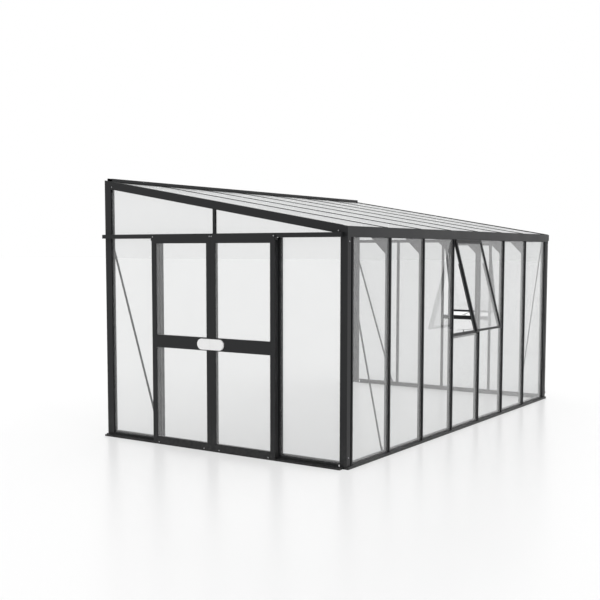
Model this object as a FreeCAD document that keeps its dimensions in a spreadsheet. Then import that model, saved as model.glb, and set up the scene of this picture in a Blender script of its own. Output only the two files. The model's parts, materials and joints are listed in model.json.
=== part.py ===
import FreeCAD, Part
import os
import re
import Sketcher

# Lean to greenhouse: an aluminium frame of glazing bars on low sills, glazed front and ends, a single
# sloping roof against a wall, a pair of top hung sliding doors in one end and two hinged vents.
# The frame's X axis runs along the wall, the glazed front faces -Y and the doors are at -X.
# The origin lies under the front sill, at mid length, in the plane of the front bars' noses.

SIZES = (
    # overall
    ("bay_pitch", 730.0),
    ("front_bays", 7),
    ("side_pitch", 730.0),
    ("side_first", 93.0),
    ("jamb_shift", 60.0),
    ("corner_offset", 98.0),
    ("depth", 3052.0),
    ("head_height", 2149.0),
    ("rail_top", 2792.0),
    ("roof_lift", 88.0),
    ("rail_lift", 29.0),
    # glazing bars and glass
    ("bar_width", 20.0),
    ("nose_depth", 17.7),
    ("nose_wall", 2.0),
    ("web_thickness", 7.0),
    ("flange_width", 36.0),
    ("flange_thickness", 3.0),
    ("leg_thickness", 6.0),
    ("bar_depth", 66.0),
    ("glass_thickness", 4.0),
    ("glass_gap", 0.3),
    ("glass_side_gap", 1.5),
    ("glass_top_gap", 1.0),
    ("rebate", 7.0),
    ("seat_gap", 0.3),
    ("section_wall", 3.0),
    # corner posts and wall posts
    ("corner_face", 63.0),
    ("corner_recess", 12.0),
    ("corner_side", 78.6),
    ("side_step", 42.0),
    ("side_step_depth", 2.5),
    ("wall_post_face", 87.0),
    ("wall_post_return", 60.0),
    ("wall_post_back", 4.0),
    ("wall_hole_radius", 4.5),
    ("wall_hole_height", 400.0),
    ("wall_hole_spacing", 1600.0),
    # sills and threshold
    ("sill_nose", 18.0),
    ("sill_face", 42.0),
    ("sill_lift", 3.0),
    ("sill_height", 58.0),
    ("front_sill_face", 26.0),
    ("front_sill_height", 42.0),
    ("floor_hole_radius", 4.5),
    ("floor_hole_line", 45.0),
    ("floor_hole_outer", 3650.0),
    ("floor_hole_inner", 730.0),
    ("side_hole_front", 290.0),
    ("side_hole_back", 252.0),
    ("track_depth", 65.0),
    ("track_front_end", 43.0),
    ("track_back_end", 7.0),
    ("track_height", 41.0),
    ("track_wall", 3.0),
    ("track_slot", 16.0),
    ("track_setback", 8.0),
    ("threshold_height", 18.0),
    ("guide_rib_height", 10.0),
    ("guide_rib_thickness", 4.0),
    ("tie_height", 41.0),
    ("mullion_width", 32.0),
    # gutter and downpipe
    ("gutter_width", 75.0),
    ("gutter_height", 98.0),
    ("gutter_wall", 3.0),
    ("gutter_floor", 20.0),
    ("gutter_back", 15.0),
    ("gutter_back_height", 84.0),
    ("outlet_radius", 18.0),
    ("outlet_width", 76.0),
    ("outlet_depth", 60.0),
    ("outlet_height", 80.0),
    ("outlet_drop", 6.0),
    ("drain_lift", 2.0),
    ("pipe_radius", 25.0),
    ("pipe_wall", 2.5),
    ("pipe_fit", 0.3),
    ("pipe_stand", 52.0),
    ("pipe_back", 46.0),
    ("collar_length", 32.0),
    ("shoe_top", 145.0),
    ("shoe_bend", 60.0),
    ("shoe_angle", 50.0),
    ("clip_height", 16.0),
    ("clip_low", 420.0),
    ("clip_spacing", 1250.0),
    # roof
    ("roof_panel", 10.0),
    ("roof_web", 8.0),
    ("roof_cap_width", 14.0),
    ("roof_cap_height", 6.0),
    ("roof_flange", 40.0),
    ("roof_leg_depth", 46.0),
    ("roof_overhang", 12.0),
    ("rafter_width", 41.0),
    ("rafter_depth", 84.0),
    ("rafter_proud", 10.7),
    ("rafter_ledge", 14.0),
    ("hood_depth", 72.0),
    ("hood_height", 33.0),
    ("hood_back", 100.0),
    ("hood_wall", 4.0),
    ("rail_hole_height", 25.0),
    ("rail_hole_outer", 4380.0),
    ("rail_hole_inner", 1460.0),
    # stiffening plates
    ("brace_width", 28.0),
    ("brace_thickness", 4.0),
    ("brace_front_lap", 63.0),
    ("brace_front_stop", 20.0),
    ("brace_end_lap", 67.0),
    ("brace_end_stop", 52.0),
    ("gusset_thickness", 4.0),
    ("gusset_drop", 160.0),
    ("gusset_reach", 310.0),
    ("gusset_lap", 26.0),
    # doors
    ("door_width", 780.0),
    ("door_thickness", 50.0),
    ("door_gap", 1.0),
    ("door_meeting", 1547.0),
    ("door_foot", 22.0),
    ("fascia_foot", 8.0),
    ("stile_width", 55.0),
    ("bottom_rail_top", 82.0),
    ("mid_rail_low", 1023.0),
    ("mid_rail_top", 1150.0),
    ("top_rail_gap", 5.0),
    ("top_rail_height", 47.0),
    ("fascia", 4.0),
    ("door_glass_setback", 8.0),
    ("guide_groove", 12.0),
    ("guide_groove_depth", 14.0),
    ("guide_length", 60.0),
    ("guide_inset", 90.0),
    ("guide_lift", 2.0),
    ("handle_length", 165.0),
    ("handle_height", 110.0),
    ("handle_thickness", 18.0),
    ("handle_middle", 1086.0),
    ("handle_round", 4.5),
    ("hanger_inset", 110.0),
    ("hanger_width", 34.0),
    ("hanger_thickness", 6.0),
    ("wheel_radius", 12.0),
    ("wheel_width", 8.0),
    ("wheel_gauge", 29.0),
    ("axle_radius", 3.0),
    ("axle_clearance", 0.05),
    ("bumper_length", 18.0),
    ("bumper_height", 22.0),
    # vents
    ("vent_angle", 15.0),
    ("vent_width", 700.0),
    ("vent_height", 1034.0),
    ("vent_rail", 24.0),
    ("vent_depth", 24.0),
    ("vent_proud", 4.0),
    ("vent_stiffener", 22.0),
    ("vent_stiffener_start", 260.0),
    ("vent_hinge_out", 10.0),
    ("vent_hinge_drop", 10.0),
    ("vent_knuckle_radius", 8.5),
    ("vent_rail_lap", 0.5),
    ("vent_pin_radius", 4.0),
    ("vent_pin_clearance", 0.05),
    ("vent_knuckle_length", 660.0),
    ("vent_lug", 8.0),
    ("vent_lug_wall", 1.5),
    ("vent_seal", 9.0),
    ("transom_drop", 1049.0),
    ("transom_cap", 28.0),
    ("transom_height", 55.0),
    ("transom_depth", 45.0),
    ("peg_height", 20.5),
    ("peg_radius", 4.0),
    ("peg_back", 38.0),
    ("stay_drop", 1013.0),
    ("stay_length", 370.0),
    ("stay_tail", 14.0),
    ("stay_width", 12.0),
    ("stay_thickness", 3.0),
    ("stay_pin_out", 26.0),
    ("stay_eye_radius", 5.5),
    ("stay_notch_pitch", 60.0),
    ("stay_pin_radius", 3.0),
    ("stay_ear", 4.0),
    # fasteners
    ("screw_radius", 5.0),
    ("screw_head", 3.0),
    ("screw_shank", 2.5),
    ("screw_length", 12.0),
    ("door_screw_low", 25.0),
    ("door_screw_lift", 13.0),
    ("door_low_screw_near", 96.0),
    ("door_low_screw_end", 79.0),
    ("door_high_screw_near", 12.0),
    ("door_high_screw_end", 15.0),
    ("rafter_screw_back", 100.0),
    ("rafter_screw_drop", 48.0),
    ("post_screw_side", 31.5),
    ("post_screw_low", 106.0),
    ("post_screw_drop", 42.0),
)

# Places that follow from the sizes above.
PLACES = {
    "run_half": "(bay_pitch * front_bays / 2)",
    "end_x": "(run_half + corner_offset)",
    "slot": "(glass_thickness + 2 * glass_gap)",
    "seat": "(nose_depth + slot)",
    "flange_back": "(seat + flange_thickness)",
    "glass_front": "(nose_depth + glass_gap)",
    "glass_edge": "(web_thickness / 2 + glass_side_gap)",
    "corner_web": "(corner_side - bar_width / 2)",
    "wall_web": "(depth - wall_post_face + bar_width / 2)",
    "roof_front_height": "(head_height + roof_lift)",
    "roof_slope": "((rail_top - rail_lift - roof_front_height) / depth)",
    "rafter_low": "(rafter_proud - rafter_depth)",
    "tie_top": "(head_height + tie_height)",
    "sill_lip": "(sill_face + sill_lift)",
    "front_sill_lip": "(front_sill_face + sill_lift)",
    "pane_low": "(sill_lip - rebate + seat_gap)",
    "front_pane_low": "(front_sill_lip - rebate + seat_gap)",
    "pane_top": "(head_height + rebate - glass_top_gap)",
    "low_pane_top": "(transom_top - transom_cap + rebate - glass_top_gap)",
    "track_face": "(track_depth - track_setback)",
    "track_floor": "(head_height + track_wall)",
    "track_middle": "(track_face / 2)",
    "guide_inward": "(track_setback + track_middle - guide_groove / 2)",
    "track_back": "(depth - track_back_end)",
    "wheel_height": "(track_floor + seat_gap + wheel_radius)",
    "flange_low": "(roof_panel + 2 * glass_gap)",
    "leg_top": "(flange_low + flange_thickness)",
    "side_middle": "(side_first + 2 * side_pitch)",
    "pipe_x": "(end_x + pipe_stand)",
    "outlet_low": "(head_height + gutter_floor - outlet_drop)",
    "collar_radius": "(pipe_radius + pipe_fit + pipe_wall)",
    "rail_half": "(end_x - rafter_width)",
    "vent_hinge_height": "(head_height - vent_hinge_drop)",
    "transom_top": "(head_height - transom_drop)",
    "gusset_foot": "(head_height - gusset_drop)",
    "top_rail_body": "(head_height - top_rail_gap)",
    "top_rail_low": "(top_rail_body - top_rail_height)",
    "door_screw_high": "(head_height + door_screw_lift)",
    "door_low_screw_far": "(door_width - door_low_screw_end)",
    "door_high_screw_far": "(door_width - door_high_screw_end)",
}

doc = FreeCAD.newDocument("Greenhouse")
sheet = doc.addObject("Spreadsheet::Sheet", "Sizes")
NODES = {}


def fill_sheet():
    """Write every driving dimension into its own cell, under its own name."""
    for row, (name, value) in enumerate(SIZES, start=1):
        sheet.set("A%d" % row, str(value))
        sheet.setAlias("A%d" % row, name)
    doc.recompute()


def bound(formula):
    """Return a formula in which each name points at its cell in the sheet."""
    names = dict(SIZES)

    def point(match):
        word = match.group()
        if word in PLACES:
            return bound(PLACES[word])
        return "Sizes." + word if word in names else word

    return re.sub(r"[a-z][a-z_0-9]*", point, str(formula))


def value(formula):
    """Return what a formula comes to with the sheet's present sizes."""
    return float(sheet.evalExpression(bound(formula)))


def place(obj, x=0, y=0, z=0, yaw=0, pitch=0, roll=0):
    """Bind an object's place and turn to formulas."""
    spot = "vector(%s; %s; %s)" % (bound(x), bound(y), bound(z))
    turn = "rotation(%s; %s; %s)" % (bound(yaw), bound(pitch), bound(roll))
    obj.setExpression("Placement", "placement(%s; %s)" % (spot, turn))
    return obj


def keep(label, obj):
    """Name an object as one of the pieces that are written out."""
    obj.Label = label
    NODES[label] = obj
    return obj


def add_loop(sketch, loop):
    """Draw one closed outline and bind each of its corners to formulas."""
    corners = [FreeCAD.Vector(value(across), value(along), 0) for across, along in loop]
    first = sketch.GeometryCount
    count = len(loop)
    for index in range(count):
        sketch.addGeometry(Part.LineSegment(corners[index], corners[(index + 1) % count]))
    for index in range(count):
        edge = first + index
        following = first + (index + 1) % count
        sketch.addConstraint(Sketcher.Constraint("Coincident", edge, 2, following, 1))
    for index, (across, along) in enumerate(loop):
        for kind, formula in (("DistanceX", across), ("DistanceY", along)):
            size = value(formula)
            row = sketch.addConstraint(Sketcher.Constraint(kind, -1, 1, first + index, 1, size))
            sketch.setExpression("Constraints[%d]" % row, bound(formula))


def extrusion(name, plane, loops, length):
    """Make a body from closed outlines on one of its origin planes; inner outlines are hollows."""
    body = doc.addObject("PartDesign::Body", name)
    sketch = body.newObject("Sketcher::SketchObject", name + "_outline")
    base = [item for item in body.Origin.OriginFeatures if item.Role == plane][0]
    sketch.AttachmentSupport = [(base, "")]
    sketch.MapMode = "FlatFace"
    for loop in loops:
        add_loop(sketch, loop)
    pad = body.newObject("PartDesign::Pad", name + "_pad")
    pad.Profile = sketch
    pad.setExpression("Length", bound(length))
    return body


def block(name, x, y, z, length, width, height):
    """Make a box from its lowest corner and its three sides."""
    box = doc.addObject("Part::Box", name)
    box.setExpression("Length", bound(length))
    box.setExpression("Width", bound(width))
    box.setExpression("Height", bound(height))
    return place(box, x, y, z)


def rod(name, radius, length, x, y, z, yaw=0, pitch=0, roll=0):
    """Make a cylinder that starts at a point and runs along its own turned Z axis."""
    cylinder = doc.addObject("Part::Cylinder", name)
    cylinder.setExpression("Radius", bound(radius))
    cylinder.setExpression("Height", bound(length))
    return place(cylinder, x, y, z, yaw, pitch, roll)


def join(name, pieces):
    """Fuse pieces into one solid."""
    fused = doc.addObject("Part::MultiFuse", name)
    fused.Shapes = pieces
    fused.Refine = True
    return fused


def group(name, pieces):
    """Hold several separate solids as one piece of the list."""
    compound = doc.addObject("Part::Compound", name)
    compound.Links = pieces
    return compound


def cut(name, base, *tools):
    """Take tools away from a base."""
    result = doc.addObject("Part::Cut", name)
    result.Base = base
    result.Tool = tools[0] if len(tools) == 1 else group(name + "_tools", list(tools))
    return result


def mirrored(loop, side):
    """Turn an outline over for the far end; side is 1 at the near end and -1 at the far end."""
    return [("(%s) * (%d)" % (across, side), along) for across, along in loop]


def both_ways(half):
    """Complete a symmetrical outline from its right half, listed from front to back."""
    left = [("-(%s)" % across, along) for across, along in reversed(half)]
    return half + left


def roof_z(y, offset):
    """Height of a plane parallel to the roof, measured straight up or down from its surface."""
    return "(roof_front_height + roof_slope * (%s) + (%s))" % (y, offset)


def slab(name, x, width, y_low, y_high, low, high):
    """Make a piece that lies along the roof's slope and has upright ends."""
    corners = [
        (y_low, roof_z(y_low, low)),
        (y_high, roof_z(y_high, low)),
        (y_high, roof_z(y_high, high)),
        (y_low, roof_z(y_low, high)),
    ]
    body = extrusion(name, "YZ_Plane", [corners], width)
    return place(body, x)


def bar_outline():
    """Glazing bar: a hollow nose, a web, a seat for the glass on each side, and a leg behind."""
    half = [
        ("bar_width / 2", "0"),
        ("bar_width / 2", "nose_depth"),
        ("web_thickness / 2", "nose_depth"),
        ("web_thickness / 2", "seat"),
        ("flange_width / 2", "seat"),
        ("flange_width / 2", "flange_back"),
        ("leg_thickness / 2", "flange_back"),
        ("leg_thickness / 2", "bar_depth"),
    ]
    hollow = [
        ("bar_width / 2 - nose_wall", "nose_wall"),
        ("bar_width / 2 - nose_wall", "nose_depth - nose_wall"),
    ]
    return [both_ways(half), both_ways(hollow)]


def sill_outline(nose, side=""):
    """Sill: a floor plate, a front, a lip before the glass, a glass groove and a ledge behind."""
    front = "-(%s)" % nose
    face, lip, top = (side + name for name in ("sill_face", "sill_lip", "sill_height"))
    return [
        (front, "0"),
        (front, face),
        ("nose_depth", lip),
        ("nose_depth", lip + " - rebate"),
        ("seat", lip + " - rebate"),
        ("seat", top),
        ("bar_depth", top),
        ("bar_depth", top + " - section_wall"),
        ("flange_back", top + " - section_wall"),
        ("flange_back", lip + " - rebate - section_wall"),
        ("nose_depth - section_wall", lip + " - rebate - section_wall"),
        ("nose_depth - section_wall", lip + " - 2 * section_wall"),
        (front + " + section_wall", face + " - section_wall / 2"),
        (front + " + section_wall", "section_wall"),
        ("bar_depth", "section_wall"),
        ("bar_depth", "0"),
    ]


def sill_space_outline(nose, side=""):
    """The whole space that a sill takes up, which the foot of each bar is cut to."""
    front = "-(%s)" % nose
    face, lip, top = (side + name for name in ("sill_face", "sill_lip", "sill_height"))
    return [
        (front, "0"),
        (front, face),
        ("nose_depth", lip),
        ("nose_depth", top),
        ("bar_depth + section_wall", top),
        ("bar_depth + section_wall", "0"),
    ]


def tie_outline():
    """Tie bar across an end: a flat front with a glass groove above and below."""
    return [
        ("0", "0"),
        ("0", "tie_height"),
        ("nose_depth", "tie_height"),
        ("nose_depth", "tie_height - rebate"),
        ("seat", "tie_height - rebate"),
        ("seat", "tie_height"),
        ("flange_back", "tie_height"),
        ("flange_back", "0"),
        ("seat", "0"),
        ("seat", "rebate"),
        ("nose_depth", "rebate"),
        ("nose_depth", "0"),
    ]


def corner_outline(side):
    """Corner post: a front arm with a nose beside a groove, and a side arm with a stepped face."""
    outer = [
        ("0", "0"),
        ("corner_face", "0"),
        ("corner_face", "corner_recess"),
        ("corner_offset - bar_width / 2", "corner_recess"),
        ("corner_offset - bar_width / 2", "0"),
        ("corner_offset + bar_width / 2", "0"),
        ("corner_offset + bar_width / 2", "nose_depth"),
        ("corner_offset + web_thickness / 2", "nose_depth"),
        ("corner_offset + web_thickness / 2", "seat"),
        ("corner_offset + flange_width / 2", "seat"),
        ("corner_offset + flange_width / 2", "flange_back"),
        ("corner_offset + leg_thickness / 2", "flange_back"),
        ("corner_offset + leg_thickness / 2", "bar_depth"),
        ("corner_offset - leg_thickness / 2", "bar_depth"),
        ("corner_offset - leg_thickness / 2", "flange_back"),
        ("flange_back", "flange_back"),
        ("flange_back", "corner_web - leg_thickness / 2"),
        ("bar_depth", "corner_web - leg_thickness / 2"),
        ("bar_depth", "corner_web + leg_thickness / 2"),
        ("flange_back", "corner_web + leg_thickness / 2"),
        ("flange_back", "corner_web + flange_width / 2"),
        ("seat", "corner_web + flange_width / 2"),
        ("seat", "corner_web + web_thickness / 2"),
        ("nose_depth", "corner_web + web_thickness / 2"),
        ("nose_depth", "corner_side"),
        ("side_step_depth", "corner_side"),
        ("side_step_depth", "side_step"),
        ("0", "side_step"),
    ]
    front_hollow = [
        ("section_wall", "section_wall"),
        ("corner_face - section_wall", "section_wall"),
        ("corner_face - section_wall", "flange_back - section_wall"),
        ("section_wall", "flange_back - section_wall"),
    ]
    side_hollow = [
        ("side_step_depth + section_wall", "flange_back + section_wall"),
        ("flange_back - section_wall", "flange_back + section_wall"),
        ("flange_back - section_wall", "corner_web - section_wall"),
        ("side_step_depth + section_wall", "corner_web - section_wall"),
    ]
    return [mirrored(loop, side) for loop in (outer, front_hollow, side_hollow)]


def wall_post_outline(side):
    """Wall post: a hollow face, a glass seat towards the front and a return flat on the wall."""
    web = "(bar_width / 2 - wall_post_face)"
    outer = [
        ("0", "-wall_post_face"),
        ("0", "0"),
        ("wall_post_return", "0"),
        ("wall_post_return", "-wall_post_back"),
        ("flange_back", "-wall_post_back"),
        ("flange_back", web + " + leg_thickness / 2"),
        ("bar_depth", web + " + leg_thickness / 2"),
        ("bar_depth", web + " - leg_thickness / 2"),
        ("flange_back", web + " - leg_thickness / 2"),
        ("flange_back", web + " - flange_width / 2"),
        ("seat", web + " - flange_width / 2"),
        ("seat", web + " - web_thickness / 2"),
        ("nose_depth", web + " - web_thickness / 2"),
        ("nose_depth", "-wall_post_face"),
    ]
    hollow = [
        ("section_wall", web + " + web_thickness / 2 + section_wall"),
        ("flange_back - section_wall", web + " + web_thickness / 2 + section_wall"),
        ("flange_back - section_wall", "-section_wall"),
        ("section_wall", "-section_wall"),
    ]
    return [mirrored(loop, side) for loop in (outer, hollow)]


def gutter_outline():
    """Eave gutter: an open trough over a hollow floor, with a glass groove underneath."""
    trough_back = "gutter_width - gutter_back"
    outer = [
        ("0", "0"),
        ("0", "gutter_height"),
        ("gutter_wall", "gutter_height"),
        ("gutter_wall", "gutter_floor"),
        (trough_back, "gutter_floor"),
        (trough_back, "gutter_back_height"),
        ("gutter_width", "gutter_back_height"),
        ("gutter_width", "0"),
        ("seat", "0"),
        ("seat", "rebate"),
        ("nose_depth", "rebate"),
        ("nose_depth", "0"),
    ]
    hollow = [
        ("seat + gutter_wall", "gutter_wall"),
        ("gutter_width - gutter_wall", "gutter_wall"),
        ("gutter_width - gutter_wall", "gutter_back_height - gutter_wall"),
        (trough_back + " + gutter_wall", "gutter_back_height - gutter_wall"),
        (trough_back + " + gutter_wall", "gutter_floor - gutter_wall"),
        ("seat + gutter_wall", "gutter_floor - gutter_wall"),
    ]
    return [outer, hollow]


def across_end(name, loops, y_low, y_high, z, side):
    """Run a section along Y at one end of the house; side is -1 at the doors, 1 at the far end."""
    length = "(%s) - (%s)" % (y_high, y_low)
    body = extrusion(name, "YZ_Plane", loops, length)
    start = y_high if side < 0 else y_low
    return place(body, "%d * end_x" % side, start, z, yaw=90 * side)


def end_block(name, side, inward, y, z, thickness, width, height):
    """Make a box whose outer face stands a distance inward of the end plane, on either end."""
    x = "%d * (end_x - (%s))" % (side, inward)
    if side > 0:
        x = x + " - (%s)" % thickness
    return block(name, x, y, z, thickness, width, height)


def front_x(index):
    """X of the middle of a front glazing bar, counted from the door end's corner."""
    return "(%d * bay_pitch - run_half)" % index


def side_y(index):
    """Y of the middle of a side glazing bar, counted from the front corner."""
    return "(side_first + %d * side_pitch)" % index


def jamb_y(index):
    """Y of the middle of a door jamb; the front one stands past the edge of its closed leaf."""
    return "(%s%s)" % (side_y(index), " - jamb_shift" if index == 1 else "")


def anchor_hole(x, y):
    """One hole through a sill's floor plate."""
    return rod("anchor_hole", "floor_hole_radius", "2 * section_wall", x, y, "-section_wall / 2")


def side_holes(side):
    """Two floor anchor holes in the sill or sills of one end."""
    x = "%d * (end_x - floor_hole_line)" % side
    return [anchor_hole(x, y) for y in ("side_first + side_hole_front", "wall_web - side_hole_back")]


def build_sills():
    """Front sill and the sills of both ends, with their holes for floor anchors."""
    inner = "(corner_offset + flange_width / 2 + seat_gap)"
    length = "(2 * (end_x - %s))" % inner
    section = extrusion("front_sill_section", "YZ_Plane", [sill_outline("sill_nose", "front_")], length)
    place(section, "-%s / 2" % length)
    feet = []
    for x in ("-end_x", "end_x - " + inner):
        feet.append(block("front_sill_foot", x, "-sill_nose", 0, inner, "sill_nose", "front_sill_face"))
    holes = []
    for spacing in ("floor_hole_outer", "floor_hole_inner"):
        for sign in (-1, 1):
            holes.append(anchor_hole("%d * %s / 2" % (sign, spacing), "floor_hole_line"))
    keep("front_sill", cut("front_sill_cut", join("front_sill_bare", [section] + feet), *holes))

    start = "corner_web + flange_width / 2 + seat_gap"
    stop = "wall_web - flange_width / 2 - seat_gap"
    far = across_end("far_sill_bare", [sill_outline("sill_nose")], start, stop, 0, 1)
    keep("far_sill", cut("far_sill_cut", far, *side_holes(1)))
    parts = []
    for name, low, high in (
        ("door_sill_front", start, jamb_y(1) + " + web_thickness / 2"),
        ("door_sill_back", jamb_y(3) + " - web_thickness / 2", stop),
    ):
        parts.append(across_end(name, [sill_outline("0")], low, high, 0, -1))
    keep("door_end_sills", cut("door_end_sills_cut", group("door_end_sills_bare", parts), *side_holes(-1)))


def build_corner_posts():
    """Corner posts from the floor to the underside of the gutter."""
    for label, side in (("door_corner_post", -1), ("far_corner_post", 1)):
        post = extrusion(label, "XY_Plane", corner_outline(-side), "head_height - seat_gap")
        keep(label, place(post, "%d * end_x" % side))


def build_roof_space():
    """The space above the end rafters' undersides, which uprights and panes are cut to."""
    return above_rafters("roof_space", "rafter_low")


def above_rafters(name, low):
    """Everything above a plane parallel to the roof, well past the house on every side."""
    return slab(name, "-end_x - depth", "2 * (end_x + depth)", "-depth", "2 * depth", low, "depth")


def build_wall_posts(roof_space):
    """Wall posts from the floor to the underside of the end rafters, drilled for the wall."""
    for label, side in (("door_wall_post", -1), ("far_wall_post", 1)):
        post = extrusion(label + "_bare", "XY_Plane", wall_post_outline(-side), "rail_top")
        place(post, "%d * end_x" % side, "depth")
        x = "%d * (end_x - (flange_back + wall_post_return) / 2)" % side
        holes = []
        for step in (0, 1):
            z = "wall_hole_height + %d * wall_hole_spacing" % step
            y = "depth + wall_post_back"
            holes.append(rod("wall_hole", "wall_hole_radius", "3 * wall_post_back", x, y, z, roll=90))
        keep(label, cut(label + "_cut", post, roof_space, *holes))


def build_front_bars():
    """Six glazing bars along the front, each with its foot cut to the sill."""
    outline = sill_space_outline("sill_nose", "front_")
    sill_space = extrusion("sill_space", "YZ_Plane", [outline], "2 * end_x")
    place(sill_space, "-end_x")
    bays = int(dict(SIZES)["front_bays"])
    for index in range(1, bays):
        label = "front_bar_%d" % index
        height = "head_height - seat_gap - front_sill_face"
        bare = extrusion(label + "_bare", "XY_Plane", bar_outline(), height)
        place(bare, front_x(index), 0, "front_sill_face")
        keep(label, cut(label + "_cut", bare, sill_space))


def far_bar(name, index):
    """A glazing bar in the far end, standing on the sill and ending under the tie bar."""
    space = extrusion(name + "_foot", "YZ_Plane", [sill_space_outline("sill_nose")], "2 * side_pitch")
    place(space, "end_x", side_y(index - 1), 0, yaw=90)
    bare = extrusion(name + "_bare", "XY_Plane", bar_outline(), "head_height - seat_gap - sill_face")
    place(bare, "end_x", side_y(index), "sill_face", yaw=90)
    return cut(name + "_cut", bare, space)


def jamb(name, index):
    """A glazing bar beside the doorway, cut over the sill on one side and standing on the floor."""
    bare = extrusion(name + "_bare", "XY_Plane", bar_outline(), "head_height - seat_gap")
    place(bare, "-end_x", jamb_y(index), 0, yaw=-90)
    low = jamb_y(index) + (" - flange_width" if index == 1 else " - web_thickness / 2")
    high = jamb_y(index) + (" + web_thickness / 2" if index == 1 else " + flange_width")
    foot = across_end(name + "_foot", [sill_space_outline("0")], low, high, 0, -1)
    return cut(name + "_cut", bare, foot)


def build_end_bars():
    """Door jambs at the near end and three glazing bars at the far end."""
    keep("door_jambs", group("door_jambs", [jamb("door_jamb_front", 1), jamb("door_jamb_back", 3)]))
    bars = [far_bar("far_bar_%d" % index, index) for index in (1, 2, 3)]
    keep("far_end_bars", group("far_end_bars", bars))


def mullion_outline():
    """Short mullion: a flat face, a glass groove on each side and a back."""
    half = [
        ("mullion_width / 2", "0"),
        ("mullion_width / 2", "nose_depth"),
        ("web_thickness / 2", "nose_depth"),
        ("web_thickness / 2", "seat"),
        ("mullion_width / 2", "seat"),
        ("mullion_width / 2", "flange_back"),
    ]
    return both_ways(half)


def build_ties(roof_space):
    """Tie bar and short middle mullion above it, at each end."""
    ties = []
    mullions = []
    for name, side in (("door", -1), ("far", 1)):
        low = "gutter_width + seat_gap"
        high = "depth - wall_post_face - seat_gap"
        tie = across_end(name + "_tie", [tie_outline()], low, high, "head_height", side)
        start = "wall_web - flange_width / 2 - seat_gap"
        size = ("bar_depth", "flange_width", "2 * tie_height")
        notch = end_block(name + "_notch", side, "seat - seat_gap", start, "head_height", *size)
        ties.append(cut(name + "_tie_cut", tie, roof_space, notch))
        post = extrusion(name + "_mullion", "XY_Plane", [mullion_outline()], "rail_top - tie_top")
        place(post, "%d * end_x" % side, "side_middle", "tie_top", yaw=90 * side)
        mullions.append(cut(name + "_mullion_cut", post, roof_space))
    keep("tie_bars", group("tie_bars", ties))
    keep("head_mullions", group("head_mullions", mullions))


def build_gutter():
    """Eave gutter with a cap at each end; the far one is drilled for the outlet."""
    length = "(2 * (end_x - gutter_wall))"
    gutter = extrusion("gutter_section", "YZ_Plane", gutter_outline(), length)
    keep("eave_gutter", place(gutter, "-%s / 2" % length, 0, "head_height"))
    cap = [
        ("0", "0"),
        ("0", "gutter_height"),
        ("gutter_width", "gutter_height + roof_slope * gutter_width"),
        ("gutter_width", "0"),
    ]
    near = place(extrusion("near_cap", "YZ_Plane", [cap], "gutter_wall"), "-end_x", 0, "head_height")
    far = extrusion("far_cap", "YZ_Plane", [cap], "gutter_wall")
    place(far, "end_x - gutter_wall", 0, "head_height")
    keep("gutter_end_caps", group("gutter_end_caps", [near, cut("far_cap_cut", far, drain("cap_drain"))]))


def drain(name):
    """The round way out of the gutter's far end, through its cap and into the outlet box."""
    y = "(gutter_width - gutter_back + gutter_wall) / 2"
    z = "head_height + gutter_floor + outlet_radius + drain_lift"
    return rod(name, "outlet_radius", "4 * gutter_wall", "end_x - 2 * gutter_wall", y, z, pitch=90)


def pipe_rod(name, radius, length, z):
    """An upright cylinder on the downpipe's axis."""
    return rod(name, radius, length, "pipe_x", "pipe_back", z)


def build_drain():
    """The outlet box on the gutter's end and the downpipe that stands in its collar."""
    front = "pipe_back - outlet_depth / 2"
    box = block("outlet_box", "end_x", front, "outlet_low", "outlet_width", "outlet_depth", "outlet_height")
    inside = block(
        "outlet_inside",
        "end_x + gutter_wall",
        front + " + gutter_wall",
        "outlet_low + gutter_wall",
        "outlet_width - 2 * gutter_wall",
        "outlet_depth - 2 * gutter_wall",
        "outlet_height",
    )
    foot = "outlet_low - collar_length"
    bore = pipe_rod("outlet_bore", "pipe_radius - pipe_wall", "collar_length + outlet_height / 2", foot)
    socket = pipe_rod("outlet_socket", "pipe_radius + pipe_fit", "collar_length", foot)
    collar = pipe_rod("outlet_collar", "collar_radius", "collar_length + gutter_wall / 2", foot)
    bare = join("outlet_outside", [box, collar])
    keep("gutter_outlet", cut("outlet_cut", bare, inside, drain("box_drain"), bore, socket))

    low = "shoe_top - collar_length + pipe_fit"
    height = "outlet_low - pipe_fit - (%s)" % low
    outside = pipe_rod("pipe_outside", "pipe_radius", height, low)
    hollow = pipe_rod("pipe_hollow", "pipe_radius - pipe_wall", height, low)
    keep("downpipe", cut("downpipe_cut", outside, hollow))


def build_shoe():
    """Shoe: a socket round the foot of the downpipe and a bend that turns the water outwards."""
    foot = "shoe_top - collar_length"
    bends = []
    for name, radius in (("outer", "collar_radius"), ("inner", "pipe_radius - pipe_wall")):
        bend = doc.addObject("Part::Torus", "shoe_%s_bend" % name)
        bend.setExpression("Radius1", bound("shoe_bend"))
        bend.setExpression("Radius2", bound(radius))
        bend.setExpression("Angle3", bound("shoe_angle"))
        bends.append(place(bend, "pipe_x + shoe_bend", "pipe_back", foot, pitch=180, roll=90))
    outer, inner = bends
    bare = join("shoe_outside", [outer, pipe_rod("shoe_collar", "collar_radius", "collar_length", foot)])
    socket = pipe_rod("shoe_socket", "pipe_radius + pipe_fit", "collar_length", foot)
    keep("downpipe_shoe", cut("shoe_cut", bare, inner, socket))


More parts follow.
